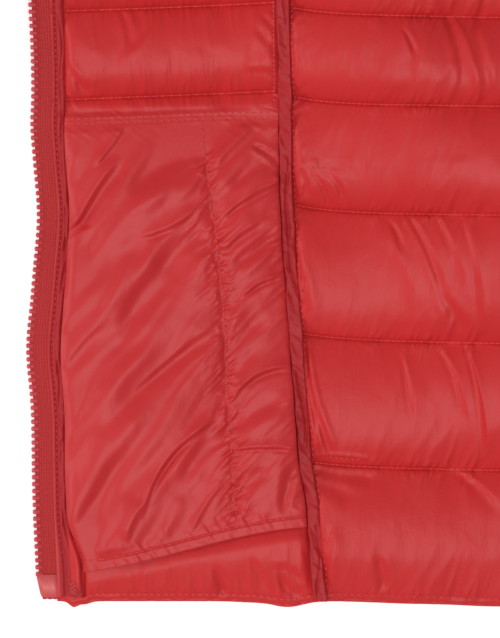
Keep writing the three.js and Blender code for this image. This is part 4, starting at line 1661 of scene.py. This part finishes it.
class Copier:
    """Sets copies of one small shape on points, through a Geometry Nodes tree."""

    def __init__(self) -> None:
        """Builds the tree once."""
        tree = bpy.data.node_groups.new("set_copies", "GeometryNodeTree")
        self.tree = tree
        kinds = {"Points": "Geometry", "Copy": "Object", "Finish": "Material"}
        kinds |= dict.fromkeys(("Length", "Width", "Unevenness"), "Float")
        add = tree.interface.new_socket
        self.ids = {
            label: add(label, in_out="INPUT", socket_type=f"NodeSocket{kind}").identifier
            for label, kind in kinds.items()
        }
        add("Copies", in_out="OUTPUT", socket_type="NodeSocketGeometry")
        bench = Bench(tree)
        given, end = bench.add("NodeGroupInput").outputs, bench.add("NodeGroupOutput")
        shape = bench.add("GeometryNodeObjectInfo", {"Object": given["Copy"]})
        turn = bench.add("GeometryNodeInputNamedAttribute", {"Name": "turn"}, data_type="FLOAT_VECTOR")
        euler = bench.add("FunctionNodeEulerToRotation", {0: turn.outputs[0]})
        chance = bench.add("FunctionNodeRandomValue", {"Seed": 7}, data_type="FLOAT")
        floats = [s for s in chance.inputs if s.type == "VALUE" and s.name in ("Min", "Max")]
        for kind, socket in zip(("SUBTRACT", "ADD"), floats):
            tree.links.new(bench.math(kind, 1.0, given["Unevenness"]), socket)
        scale = [s for s in chance.outputs if s.type == "VALUE" and s.enabled][0]
        width = given["Width"]
        sizes = bench.add("ShaderNodeCombineXYZ", {"X": given["Length"], "Y": width, "Z": width})
        sized = bench.add("ShaderNodeVectorMath", operation="SCALE")
        bench.fill(sized, {0: sizes.outputs[0], "Scale": scale})
        spots = {"Points": given["Points"], "Instance": shape.outputs["Geometry"]}
        ways = {"Rotation": euler.outputs[0], "Scale": sized.outputs[0]}
        copies = bench.add("GeometryNodeInstanceOnPoints", spots | ways)
        real = bench.add("GeometryNodeRealizeInstances", {0: copies.outputs[0]})
        soft = bench.add("GeometryNodeSetShadeSmooth", {0: real.outputs[0]})
        dressed = bench.add("GeometryNodeSetMaterial", {0: soft.outputs[0], "Material": given["Finish"]})
        bench.fill(end, {"Copies": dressed.outputs[0]})

    def place(
        self,
        name: str,
        copy: Object,
        side: Side,
        points: Array,
        along: Array,
        finish: Material,
        unevenness: float,
        normal: Array | None = None,
        size: tuple[float, float] = (1.0, 1.0),
    ) -> Object:
        """Sets the copies and turns them into one plain mesh.

        Args:
            name: The piece's name.
            copy: The shape, whose X runs along the line.
            side: LEFT mirrors the points.
            points: Where the copies go.
            along: Each copy's own X.
            finish: Their material.
            unevenness: How much their size varies.
            normal: Each copy's own Z, straight up if left out.
            size: How many times longer and wider than the shape the copies are.

        Returns:
            The piece.
        """
        if normal is None:
            normal = np.zeros_like(points) + np.array([0.0, 0.0, 1.0])
        places = side.turn(points) * MM + SHIFT
        mirror = np.array([-side.value, 1.0, 1.0])
        turns = []
        for x_axis, z_axis in zip(along * mirror, normal * mirror):
            x, z = Vector(x_axis).normalized(), Vector(z_axis).normalized()
            y = z.cross(x).normalized()
            turns.append(Matrix((x, y, x.cross(y))).transposed().to_euler())
        mesh = bpy.data.meshes.new(name)
        mesh.from_pydata(places.tolist(), [], [])
        layer = mesh.attributes.new("turn", "FLOAT_VECTOR", "POINT")
        layer.data.foreach_set("vector", np.array(turns, dtype=np.float32).ravel())
        holder = link(name + "_points", mesh)
        modifier = holder.modifiers.new("copies", "NODES")
        modifier.node_group = self.tree
        modifier[self.ids["Copy"]] = copy
        modifier[self.ids["Finish"]] = finish
        modifier[self.ids["Length"]], modifier[self.ids["Width"]] = size
        modifier[self.ids["Unevenness"]] = unevenness
        graph = bpy.context.evaluated_depsgraph_get()
        made = bpy.data.meshes.new_from_object(holder.evaluated_get(graph))
        made.name = name
        bpy.data.objects.remove(holder)
        if "turn" in made.attributes:
            made.attributes.remove(made.attributes["turn"])
        return link(name, made)


@dataclass(frozen=True)
class SewnLine:
    """One line of stitches on a surface, from a path of pattern points."""

    u: Array
    v: Array
    pitch: float
    length: float
    sunk: float = 0.05


class Stitching:
    """Every line of stitches of one piece, as one mesh."""

    width = 1.6

    def __init__(self, wardrobe: Wardrobe, copier: Copier) -> None:
        """Keeps the finish and makes the one stitch that is copied."""
        self.wardrobe, self.copier = wardrobe, copier
        self.stitch = self.shape()

    @staticmethod
    def shape() -> Object:
        """A stitch 1 mm long and 0.5 mm wide along X, pulled down at both ends.

        Returns:
            The stitch.
        """
        radius, points, faces = 0.2, [], []
        for x in (-0.3, 0.3):
            for k in range(4):
                angle = (0.25 + 0.5 * k) * math.pi
                points.append((x, radius * math.cos(angle) * 1.2, radius * math.sin(angle) - 0.02))
        points += [(-0.5, 0.0, -0.25), (0.5, 0.0, -0.25)]
        for k in range(4):
            n = (k + 1) % 4
            faces += [(k, n, n + 4, k + 4), (8, n, k), (9, k + 4, n + 4)]
        mesh = bpy.data.meshes.new("stitch")
        mesh.from_pydata([tuple(c * MM for c in p) for p in points], [], faces)
        mesh.update()
        return link("stitch", mesh)

    def sew(
        self,
        name: str,
        side: Side,
        surface: Surface,
        lines: Sequence[SewnLine],
        size: float = 2.3,
        beside: tuple[float, float] = (0.4, 0.4),
    ) -> Object:
        """Sews lines on a surface.

        Args:
            name: The piece's name.
            side: LEFT mirrors it.
            surface: The upper side that it lies on.
            lines: The lines.
            size: Length of a stitch.
            beside: How far from a stitch, in the surface's own coordinates, its slope is measured.

        Returns:
            The piece.
        """
        spots, ways, normals = [], [], []
        for line in lines:
            path = surface(line.u, line.v)
            steps = np.linalg.norm(np.diff(path, axis=0), axis=1)
            reach = np.concatenate([[0.0], np.cumsum(steps)])
            at = np.arange(line.pitch / 2.0, reach[-1], line.pitch)
            u, v = np.interp(at, reach, line.u), np.interp(at, reach, line.v)
            ahead_u, ahead_v = np.interp(at + 0.8, reach, line.u), np.interp(at + 0.8, reach, line.v)
            spot, ahead = surface(u, v), surface(ahead_u, ahead_v)
            way = ahead - spot
            way[-1] = way[-2] if len(way) > 1 else (1.0, 0.0, 0.0)
            side_way = surface(u + beside[0], v) - surface(u - beside[0], v)
            rise_way = surface(u, v + beside[1]) - surface(u, v - beside[1])
            normal = np.cross(side_way, rise_way)
            normal *= np.sign(normal[:, 2:3] + 1e-9)
            spot[:, 2] += 0.2 - line.sunk
            spots.append(spot)
            ways.append(way)
            normals.append(normal)
        finish = self.wardrobe.THREAD
        places, ways, normals = np.concatenate(spots), np.concatenate(ways), np.concatenate(normals)
        material = self.wardrobe.of(finish)
        sizes = (size, self.width)
        piece = self.copier.place(name, self.stitch, side, places, ways, material, 0.1, normals, sizes)
        return settle(piece, finish)

    def close(self) -> None:
        """Removes the stitch that the copies came from."""
        bpy.data.objects.remove(self.stitch)


def run(u0: float, v0: float, u1: float, v1: float, count: int = 60) -> tuple[Array, Array]:
    """A straight path of pattern points."""
    return np.linspace(u0, u1, count), np.linspace(v0, v1, count)


# ---- back, sleeves and hood ----


@dataclass
class BackBody:
    """The back, inside up, quilted right across."""

    wardrobe: Wardrobe
    seam_thick: float = 2.5
    loft: float = 8.2
    covered: float = 4.0

    def half(self, y: Array) -> Array:
        """Half the width of the back piece."""
        side = LAY.body_half(np.minimum(y, LAY.shoulder_low))
        return mix(LAY.fold_half(y) - 0.3, side, smooth((y - 100.0) / 60.0))

    @staticmethod
    def bow(x: Array, y: Array) -> Array:
        """How far a quilting line hangs below its own height."""
        return 2.5 * np.cos(x / 70.0) * smooth(y / 60.0) * smooth((640.0 - y) / 60.0)

    @staticmethod
    def top(x: Array) -> Array:
        """Where the back ends, with the shoulder's corner carried up to the hood's neck seam.

        Args:
            x: Across the back.

        Returns:
            The height of its upper edge.
        """
        corner_x, corner_y = LAY.flap(np.array(LAY.neck_half), np.array(LAY.front_shoulder))
        share = (np.abs(x) - LAY.neck_half) / (-float(corner_x) - LAY.neck_half)
        bridge = mix(LAY.shoulder_high, float(corner_y), share)
        return np.where((share > 0.0) & (share < 1.15), np.maximum(bridge, LAY.back_top(x)), LAY.back_top(x))

    def height(self, x: Array, y: Array) -> Array:
        """Height of the back's upper side above the floor.

        Args:
            x: Across the back.
            y: Up from the hem.

        Returns:
            The height at each point.
        """
        inside = LAY.fold_half(y) - np.abs(x)
        puff, away, line = QUILT.channel(y + self.bow(x, y))
        rise = rounded(inside / 14.0)
        lumps = 1.0 + 0.12 * billows(x / 38.0, y / 30.0, 71, 2)
        pleats = gathered(x, away, 72, (3.4, 5.0, 0.6, 0.0), (8.0, 11.0, 0.9, 0.1))
        pleats = pleats + Gathers(17.0, 20.0, 1.0, -0.1, 74).height(x + 3.0 * line, away)
        top = self.top(x)
        hem = rounded((y + 0.5) / 3.2) * rounded((top - y + 0.5) / 6.0)
        shown = self.seam_thick + hem * rise * (self.loft * puff * lumps + pleats)
        return np.where(inside > 0.0, shown, mix(self.seam_thick, self.covered, smooth((y - 100.0) / 60.0)))

    def points(self, x: Array, y: Array) -> Array:
        """The points of the back's upper side."""
        return pack(x, y, self.height(x, y))

    def build(self, stitching: Stitching) -> None:
        """Makes the back and its quilting stitches.

        Args:
            stitching: What sews it.
        """
        rows = QUILT.rows(0.0, LAY.shoulder_high, lambda height: 5.2)
        share = spread((-1.0, -0.9, 0.02), (-0.9, 0.9, 0.0115), (0.9, 1.0, 0.02))
        share, row = np.meshgrid(share, rows)
        y = row
        for _ in range(3):
            x = share * self.half(np.minimum(y, LAY.shoulder_low))
            bend = smooth((row - 560.0) / 108.0)
            y = row * mix(1.0, self.top(x) / LAY.shoulder_high, bend) - self.bow(x, row)
        under, places = pack(x, y, 0.0), pack(x, y)
        piece = self.wardrobe.wall("back", Wardrobe.SHELL, Side.RIGHT, self.points(x, y), under, places)
        lines = []
        for height in QUILT.lines[1:-1]:
            reach = float(LAY.fold_half(np.array(height))) - 3.0
            x_line = np.linspace(-reach, reach, 200)
            y_line = height - self.bow(x_line, np.full_like(x_line, height))
            lines.append(SewnLine(x_line, y_line, 3.7, 2.3, -0.35))
        hem_reach = LAY.hem_half - 2.0
        lines.append(SewnLine(*run(-hem_reach, 4.5, hem_reach, 4.5, 200), 3.7, 2.3))
        stitching.sew("stitches_back", Side.RIGHT, self.points, lines)


@dataclass
class Sleeves:
    """The flattened sleeves and the elastic bands that end them."""

    wardrobe: Wardrobe
    channels: int = 13
    root_high: float = 15.4
    high: float = 20.0
    dip: float = 5.5
    band: float = 22.0
    slit: tuple[float, float] = (5.0, 7.0)
    wrinkle: float = 0.7

    def ring(self, count: int) -> tuple[Array, Array, Array]:
        """The section of a flattened tube.

        Args:
            count: How many points it has.

        Returns:
            How far across each point is, its share of the height, and how far on top it is.
        """
        angle = np.linspace(0.0, 2.0 * math.pi, count + 1)
        cos, sin = np.cos(angle), np.sin(angle)
        across = 0.5 - 0.5 * np.sign(cos) * np.abs(cos) ** 0.75
        high = np.where(sin > 0.0, 0.45 + 0.55 * np.abs(sin) ** 0.55, 0.45 - 0.45 * np.abs(sin) ** 0.3)
        return across, high, np.clip(sin, 0.0, 1.0)

    def tube(
        self, name: str, side: Side, s: Array, crest: Array, finish: Finish, inset: float, seed: int
    ) -> Object:
        """A flattened tube from its sections, open at both ends.

        Args:
            name: The frame's node, without its side.
            side: Which sleeve.
            s: Where the sections are, from armhole to cuff.
            crest: Height of each section.
            finish: Its finish.
            inset: How much narrower than the sleeve it is.
            seed: Which set of small folds.

        Returns:
            The piece.
        """
        across, high, top = self.ring(68)
        t, far = np.meshgrid(mix(inset, 1.0 - inset, across), s)
        x, y = LAY.sleeve(far, t)
        run_t = t * mix(200.0, 108.0, far)
        line = np.abs(np.mod(far * self.channels + 0.5, 1.0) - 0.5) * LAY.sleeve_length / self.channels
        sizes = ((5.0, 7.0, self.wrinkle, 0.1), (13.0, 16.0, 1.3 * self.wrinkle, 0.2))
        fold = gathered(run_t, line, seed, *sizes)
        outer = pack(x, y, np.maximum(high * crest[:, None] + fold * top, 0.0))
        t_in, far_in = np.meshgrid(mix(0.06, 0.94, across), (s[0], (s[0] + s[-1]) / 2.0, s[-1]))
        inner = pack(*LAY.sleeve(far_in, t_in), mix(self.slit[0], self.slit[1], high))
        parts = MeshParts()
        parts.grid(outer, pack(far * LAY.sleeve_length, run_t), flip=True)
        parts.grid(inner, pack(far_in * LAY.sleeve_length, t_in * 150.0))
        for end, flip in ((0, False), (-1, True)):
            ends = np.stack([outer[end], inner[end]])
            parts.grid(ends, ends[..., :2], flip=not flip)
        piece = parts.object(f"cloth_{name}_{side.label}", self.wardrobe.of(finish), side)
        return settle(piece, finish, f"{name}_{side.label}")

    def line_points(self, s: Array, t: Array) -> Array:
        """The sleeve's upper side along a quilting line.

        Args:
            s: From the armhole, 0, to the cuff, 1.
            t: From the underarm edge, 0, to the top edge, 1.

        Returns:
            The points.
        """
        x, y = LAY.sleeve(s, t)
        wide = smooth((s - 0.2) / 0.12)
        crest = mix(self.root_high, self.high, wide) - self.dip * mix(0.4, 1.0, wide)
        share = 2.0 * np.abs(t - 0.5)
        arch = np.sqrt(np.clip(1.0 - share**2.67, 0.0, 1.0)) ** 0.55
        return pack(x, y, crest * (0.45 + 0.55 * arch))

    def build(self, side: Side, stitching: Stitching, seed: int) -> None:
        """Makes one sleeve, its band and its stitches.

        Args:
            side: Which sleeve.
            stitching: What sews it.
            seed: Which set of small folds.
        """
        cut = 1.0 - (self.band + 0.3) / LAY.sleeve_length
        s = spread((0.0, cut, cut / (14.0 * self.channels)))
        open_share = smooth((s - 0.2) / 0.12)
        puff = channel_puff(np.mod(s / cut * self.channels, 1.0))
        crest = mix(self.root_high, self.high, open_share)
        crest = crest - self.dip * (1.0 - puff) * mix(0.4, 1.0, open_share)
        self.tube("sleeve", side, s, crest, self.wardrobe.BACKING, 0.0, seed)
        s = spread((1.0 - self.band / LAY.sleeve_length, 1.0, 0.0008))
        ribs = self.high - self.dip - 0.6 + 0.5 * np.sin(np.linspace(0.0, 2.0 * math.pi * 8.0, len(s)))
        self.tube("cuff", side, s, ribs, self.wardrobe.CUFF, 0.02, seed + 5)
        across = np.linspace(0.03, 0.97, 60)
        seams = [k / self.channels * cut for k in range(1, self.channels)]
        lines = [SewnLine(np.full(60, seam), across, 3.9, 2.3, -0.45) for seam in seams]
        stitching.sew(f"stitches_sleeve_{side.label}", side, self.line_points, lines, beside=(0.001, 0.005))


@dataclass
class Hood:
    """The hood, laid flat above the neck with its brow folded back over."""

    wardrobe: Wardrobe
    half: float = 236.0
    top: float = 290.0
    brow: float = 790.0
    strip: float = 70.0
    neck_share: float = 0.36
    front_share: float = 0.43
    under: float = 6.0
    slit: float = 2.0
    rise: float = 60.0
    seam_thick: float = 2.5
    loft: float = 8.2
    channels: int = 7

    def neck(self, a: Array) -> tuple[Array, Array]:
        """The neck seam.

        Args:
            a: Share of the way from the nape to the zip.

        Returns:
            Its x, on the left side, and y.
        """
        x_back = a / self.neck_share * LAY.neck_half
        u = mix(LAY.neck_half, 9.0, np.clip((a - self.front_share) / (1.0 - self.front_share), 0.0, 1.0))
        x_front, y_front = LAY.flap(u, LAY.front_neck(u))
        across = np.clip((a - self.neck_share) / (self.front_share - self.neck_share), 0.0, 1.0)
        x = np.where(a <= self.neck_share, x_back, mix(LAY.neck_half, -x_front, across))
        bridge = mix(LAY.shoulder_high, y_front, across)
        return x, np.where(a <= self.neck_share, LAY.back_top(x_back), bridge) + 0.1

    def columns(self, c: Array) -> tuple[Array, Array, Array]:
        """Where each column starts at the neck, folds at the crown and ends at the brow.

        Args:
            c: Across, from -1 to 1.

        Returns:
            The three points of each column.
        """
        a, sign = np.abs(c), np.where(c < 0.0, -1.0, 1.0)
        sewn_x, sewn_y = self.neck(a)
        phi = a * math.radians(84.0)
        crown_x = self.half * np.sin(phi) ** 0.85
        crown_y = LAY.back_length + 14.0 + self.top * np.cos(phi) ** 0.62
        brow_x = (self.half - 3.0) * np.sin(a * math.pi / 2.0) ** 0.95
        brow_y = self.brow - (self.brow - sewn_y - 2.0) * (brow_x / (self.half - 3.0)) ** 2.6
        pairs = ((sewn_x, sewn_y), (crown_x, crown_y), (brow_x, brow_y))
        return tuple(pack(x * sign, y) for x, y in pairs)

    def layers(self, c: Array, w: Array) -> tuple[Array, Array]:
        """The outer and inner sides of the hood's cloth.

        Args:
            c: Across, from -1 to 1.
            w: From the neck, 0, over the crown, 1, to the brow, 2.

        Returns:
            The points of the outer side and of the inner side.
        """
        sewn, crown, brow = self.columns(c)
        t = np.where(w <= 1.0, np.minimum(w, 0.985), np.minimum(2.0 - w, 0.985))[..., None]
        start = np.where((w <= 1.0)[..., None], sewn, brow)
        spot = mix(start, crown, t)
        raised = smooth((np.abs(sewn[..., 0]) - LAY.neck_half) / 30.0)
        base = LAY.stack * raised * (1.0 - smooth((spot[..., 1] - sewn[..., 1]) / self.rise))
        phase = np.mod(w * self.channels, 1.0)
        puff = channel_puff(phase)
        away = (phase - np.round(phase)) * 42.0
        along = spot[..., 0] + 0.2 * spot[..., 1]
        pleats = gathered(along, away, 91, (3.6, 5.5, 0.6, 0.0), (9.0, 13.0, 1.0, 0.2))
        lumps = 1.0 + 0.12 * billows(spot[..., 0] / 34.0, spot[..., 1] / 34.0, 93, 2)
        shown = self.loft * puff * lumps + pleats
        visible = 1.0 - smooth((w - 0.5) / 0.15)
        inner_low = base + mix(self.under, self.seam_thick + shown, visible)
        clear = mix(self.under, self.seam_thick + self.loft + 0.8, smooth((w - 1.35) / 0.2)) + self.slit
        inner_high = base + clear
        rim = smooth((2.0 - w) / 0.05)
        outer_high = inner_high + self.seam_thick + (shown - 1.2 * puff) * rim
        turn = smooth((w - 0.97) / 0.06)
        outer_z = np.where(w <= 1.0, base, outer_high)
        outer_z = mix(outer_z, mix(base, outer_high, turn), bell((w - 1.0) / 0.03))
        inner_z = np.where(w <= 1.0, inner_low, inner_high)
        return tuple(np.concatenate([spot, z[..., None]], -1) for z in (outer_z, inner_z))

    def shown(self, c: Array, w: Array) -> Array:
        """The points of the hood's side that shows."""
        outer, inner = self.layers(c, w)
        return np.where((w <= 1.0)[..., None], inner, outer)

    def build_piece(self, name: str, c: Array, side: Side) -> Object:
        """Makes one piece of the hood.

        Args:
            name: The frame's node.
            c: Where its columns are across the hood, from -1 to 1.
            side: LEFT mirrors it.

        Returns:
            The piece.
        """
        line = 1.0 / self.channels
        fine = line / 12.0
        below = spread((0.0, 4.0 * line, fine), (4.0 * line, 0.94, 0.04), (0.94, 1.0, 0.01))
        above = spread((1.0, 1.06, 0.01), (1.06, 8.0 * line, fine), (8.0 * line, 2.0, fine))
        c_grid, w_grid = np.meshgrid(c, np.concatenate([below, above[1:]]))
        outer, inner = self.layers(c_grid, w_grid)
        parts = MeshParts()
        places = pack(c_grid * 420.0, w_grid * 300.0)
        crown = len(below) - 1
        parts.grid(inner[: crown + 1], places[: crown + 1])
        parts.hidden(inner[crown:], places[crown:], 4)
        parts.grid(outer[crown:], places[crown:], flip=True)
        parts.hidden(outer[: crown + 1], places[: crown + 1], 4, flip=True)
        parts.rim(inner, outer, places, flip=True)
        piece = parts.object(f"cloth_{name}", self.wardrobe.of(Wardrobe.SHELL), side)
        settle(piece, Wardrobe.SHELL, name)
        return piece

    def build(self, stitching: Stitching) -> None:
        """Makes the hood's three pieces and their stitches.

        Args:
            stitching: What sews them.
        """
        share = self.neck_share * self.strip / LAY.neck_half
        self.build_piece("hood_centre", spread((-share, share, 0.008)), Side.RIGHT)
        for side in Side:
            self.build_piece(f"hood_side_{side.label}", spread((-1.0, -share, 0.009)), side)
        across, seams = np.linspace(-0.93, 0.93, 300), (1, 2, 3, *range(8, 14))
        lines = [SewnLine(across, np.full(300, k / self.channels), 3.9, 2.3, -0.6) for k in seams]
        stitching.sew("stitches_hood", Side.RIGHT, self.shown, lines, beside=(0.002, 0.002))


# ---- studio ----


@dataclass
class Studio:
    """The floor, the lights and the camera."""

    frame_high: float = 275.0
    middle: tuple[float, float] = (94.6, 121.1)
    distance: float = 1500.0
    focus: float = 9.0

    def build(self) -> None:
        """Makes the floor, the lights and the camera."""
        scene = bpy.context.scene
        scene.view_settings.view_transform = "Standard"
        world = bpy.data.worlds.new("studio")
        scene.world = world
        world.use_nodes = True
        sky = world.node_tree.nodes["Background"].inputs
        sky["Color"].default_value, sky["Strength"].default_value = (1.0, 1.0, 1.0, 1.0), 0.38
        self.floor()
        tilt = LAY.tilt
        across = Vector((math.cos(tilt), -math.sin(tilt), 0.0))
        up = Vector((math.sin(tilt), math.cos(tilt), 0.0))
        x, y = LAY.flap(np.array(self.middle[0]), np.array(self.middle[1]))
        target = Vector((float(x) * MM, float(y) * MM + float(SHIFT[1]), self.focus * MM))
        high = Vector((0.0, 0.0, 1.0))
        self.light("key", target - up * 0.42 - across * 0.15 + high * 1.95, target, 1.3, 25.0)
        self.light("side", target + up * 0.15 - across * 1.70 + high * 0.80, target, 0.6, 9.5)
        camera = bpy.data.cameras.new("camera")
        camera.sensor_fit = "VERTICAL"
        camera.sensor_height = 24.0
        camera.lens = 24.0 * (self.distance - self.focus) / self.frame_high
        camera.clip_end = 20.0
        holder = bpy.data.objects.new("camera", camera)
        place = Matrix((across, up, Vector((0.0, 0.0, 1.0)))).transposed().to_4x4()
        place.translation = Vector((target.x, target.y, self.distance * MM))
        holder.matrix_world = place
        scene.collection.objects.link(holder)
        scene.camera = holder

    @staticmethod
    def light(name: str, place: Vector, target: Vector, size: float, power: float) -> None:
        """Adds a soft square light.

        Args:
            name: Its name.
            place: Where it stands.
            target: What it points at.
            size: Its width in metres.
            power: Its power in watts.
        """
        data = bpy.data.lights.new(name, "AREA")
        data.size, data.energy = size, power
        lamp = bpy.data.objects.new(name, data)
        lamp.location = place
        lamp.rotation_euler = (target - place).to_track_quat("-Z", "Y").to_euler()
        bpy.context.scene.collection.objects.link(lamp)

    @staticmethod
    def floor() -> None:
        """Lays a plain pale floor."""
        mesh = bpy.data.meshes.new("floor")
        mesh.from_pydata([(-6, -6, 0), (6, -6, 0), (6, 6, 0), (-6, 6, 0)], [], [(0, 1, 2, 3)])
        material = bpy.data.materials.new("floor")
        material.use_nodes = True
        shader = material.node_tree.nodes["Principled BSDF"]
        shader.inputs["Base Color"].default_value = (0.97, 0.97, 0.97, 1.0)
        shader.inputs["Roughness"].default_value = 0.9
        shader.inputs["Emission Color"].default_value = (1.0, 1.0, 1.0, 1.0)
        shader.inputs["Emission Strength"].default_value = 0.15
        mesh.materials.append(material)
        floor = link("floor", mesh)
        floor.location.z = -0.0004


# ---- all together ----


def sew_front(
    side: Side,
    stitching: Stitching,
    panels: FrontPanels,
    bags: PocketBags,
    bindings: Bindings,
    seeds: tuple[int, int],
) -> None:
    """Sews every line of one front.

    Args:
        side: Which front.
        stitching: What sews it.
        panels: Its panels.
        bags: Its pocket bag.
        bindings: Its bindings.
        seeds: Which sets of small folds its panels and bag have.
    """
    front = partial(panels.points, PanelPlace.FRONT, seeds[0])
    slope = np.linspace(0.0, 1.0, 120)
    lines = []
    for height in QUILT.lines[4:-1]:
        below_neck = (height + 6.0 - LAY.front_neck_low) / (LAY.front_shoulder - LAY.front_neck_low)
        start = max(15.0, LAY.neck_half * max(below_neck, 0.0) ** (1.0 / 2.2))
        u = mix(start, min(LAY.seam(height), LAY.flap_fold(height)) - 3.5, slope)
        v = height + panels.drop(PanelPlace.FRONT, u, np.full_like(u, height))
        lines.append(SewnLine(u, v, 3.7, 2.2))
    u = mix(23.0, 121.0, slope)
    lines.append(SewnLine(u, np.full_like(u, 2.0), 3.0, 2.0))
    v = mix(215.0, 259.0, slope)
    lines.append(SewnLine(LAY.seam(v) - 4.4, v, 2.3, 1.6))
    stitching.sew(f"stitches_front_{side.label}", side, front, lines)
    edge = partial(panels.points, PanelPlace.SIDE, seeds[0] + 50)
    lines = []
    for height in QUILT.lines[1:9]:
        if height > LAY.side_top - 10.0:
            continue
        u = mix(float(LAY.seam(height)) + 3.2, float(LAY.flap_fold(height)) - 2.0, slope)
        v = height + panels.drop(PanelPlace.SIDE, u, np.full_like(u, height))
        lines.append(SewnLine(u, v, 2.4, 1.6))
    u = mix(128.5, 141.5, slope)
    v = QUILT.lines[1] + 3.1 + panels.drop(PanelPlace.SIDE, u, np.full_like(u, 60.0))
    lines.append(SewnLine(u, v, 2.4, 1.6))
    lines.append(SewnLine(*run(115.5, 186.5, 128.0, 186.0), 2.4, 1.6))
    u = mix(128.5, 300.0, slope)
    lines.append(SewnLine(u, np.full_like(u, 2.2), 3.0, 2.0))
    v = mix(4.0, 258.0, slope)
    u = LAY.seam(v) + LAY.seam_sway(v) + 3.8 + 0.4 * noise(v / 4.0, 0.0, 64)
    lines.append(SewnLine(u, v, 2.9, 1.6, 0.2))
    stitching.sew(f"stitches_side_{side.label}", side, edge, lines, 1.7)
    bag = partial(bags.points, panels, seeds[1], seeds[0])
    u = mix(17.0, 108.5, slope)
    low = mix(23.0, 110.0, slope)
    v = mix(31.0, 206.0, slope)
    lines = [
        SewnLine(low, bags.foot(low) + bags.hem, 3.0, 2.0),
        SewnLine(u, bags.head(u) - 3.0, 3.0, 2.0),
        SewnLine(u, bags.head(u) - 5.2, 3.0, 2.0),
        SewnLine(bags.pucker(v), v, 2.7, 1.8),
    ]
    stitching.sew(f"stitches_bag_{side.label}", side, bag, lines, 1.9)
    v = spread((9.0, LAY.front_neck_low - 3.0, 2.0))
    lines = [SewnLine(np.full_like(v, 0.22), v, 2.5, 1.6)]
    zig = np.linspace(0.0, 1.0, 13)
    lines.append(SewnLine(0.55 + 0.22 * np.abs(np.mod(zig * 6.0, 2.0) - 1.0), 2.2 + 5.2 * zig, 1.3, 1.2))
    trim = partial(bindings.edge_points, seeds[0] + 70)
    stitching.sew(f"stitches_binding_{side.label}", side, trim, lines, 1.6, (0.05, 0.4))


def main() -> None:
    """Builds every piece of the jacket and its studio."""
    logging.basicConfig(level=logging.INFO, format="%(name)s %(message)s")
    Studio().build()
    wardrobe, copier = Wardrobe(), Copier()
    stitching = Stitching(wardrobe, copier)
    panels, bags = FrontPanels(wardrobe), PocketBags(wardrobe)
    bindings, zipper = Bindings(wardrobe), Zip(wardrobe)
    for side, fine, seed in ((Side.RIGHT, 0.42, 3), (Side.LEFT, 0.95, 203)):
        panels.build(PanelPlace.FRONT, side, fine, seed)
        panels.build(PanelPlace.SIDE, side, fine, seed + 50)
        HiddenPleats(wardrobe).build(side)
        bags.build(panels, side, 1.47 * fine, seed + 90, seed)
        bindings.build_edge(side, 1.2 * fine, seed + 70)
        bindings.build_seam(side, 1.2 * fine, seed + 80)
        zipper.build_tape(side, 1.2)
        zipper.build_teeth(side, copier)
        sew_front(side, stitching, panels, bags, bindings, (seed, seed + 90))
        Sleeves(wardrobe).build(side, stitching, seed + 120)
    zipper.build_ends()
    BackBody(wardrobe).build(stitching)
    Hood(wardrobe).build(stitching)
    stitching.close()


if __name__ == "__main__":
    main()
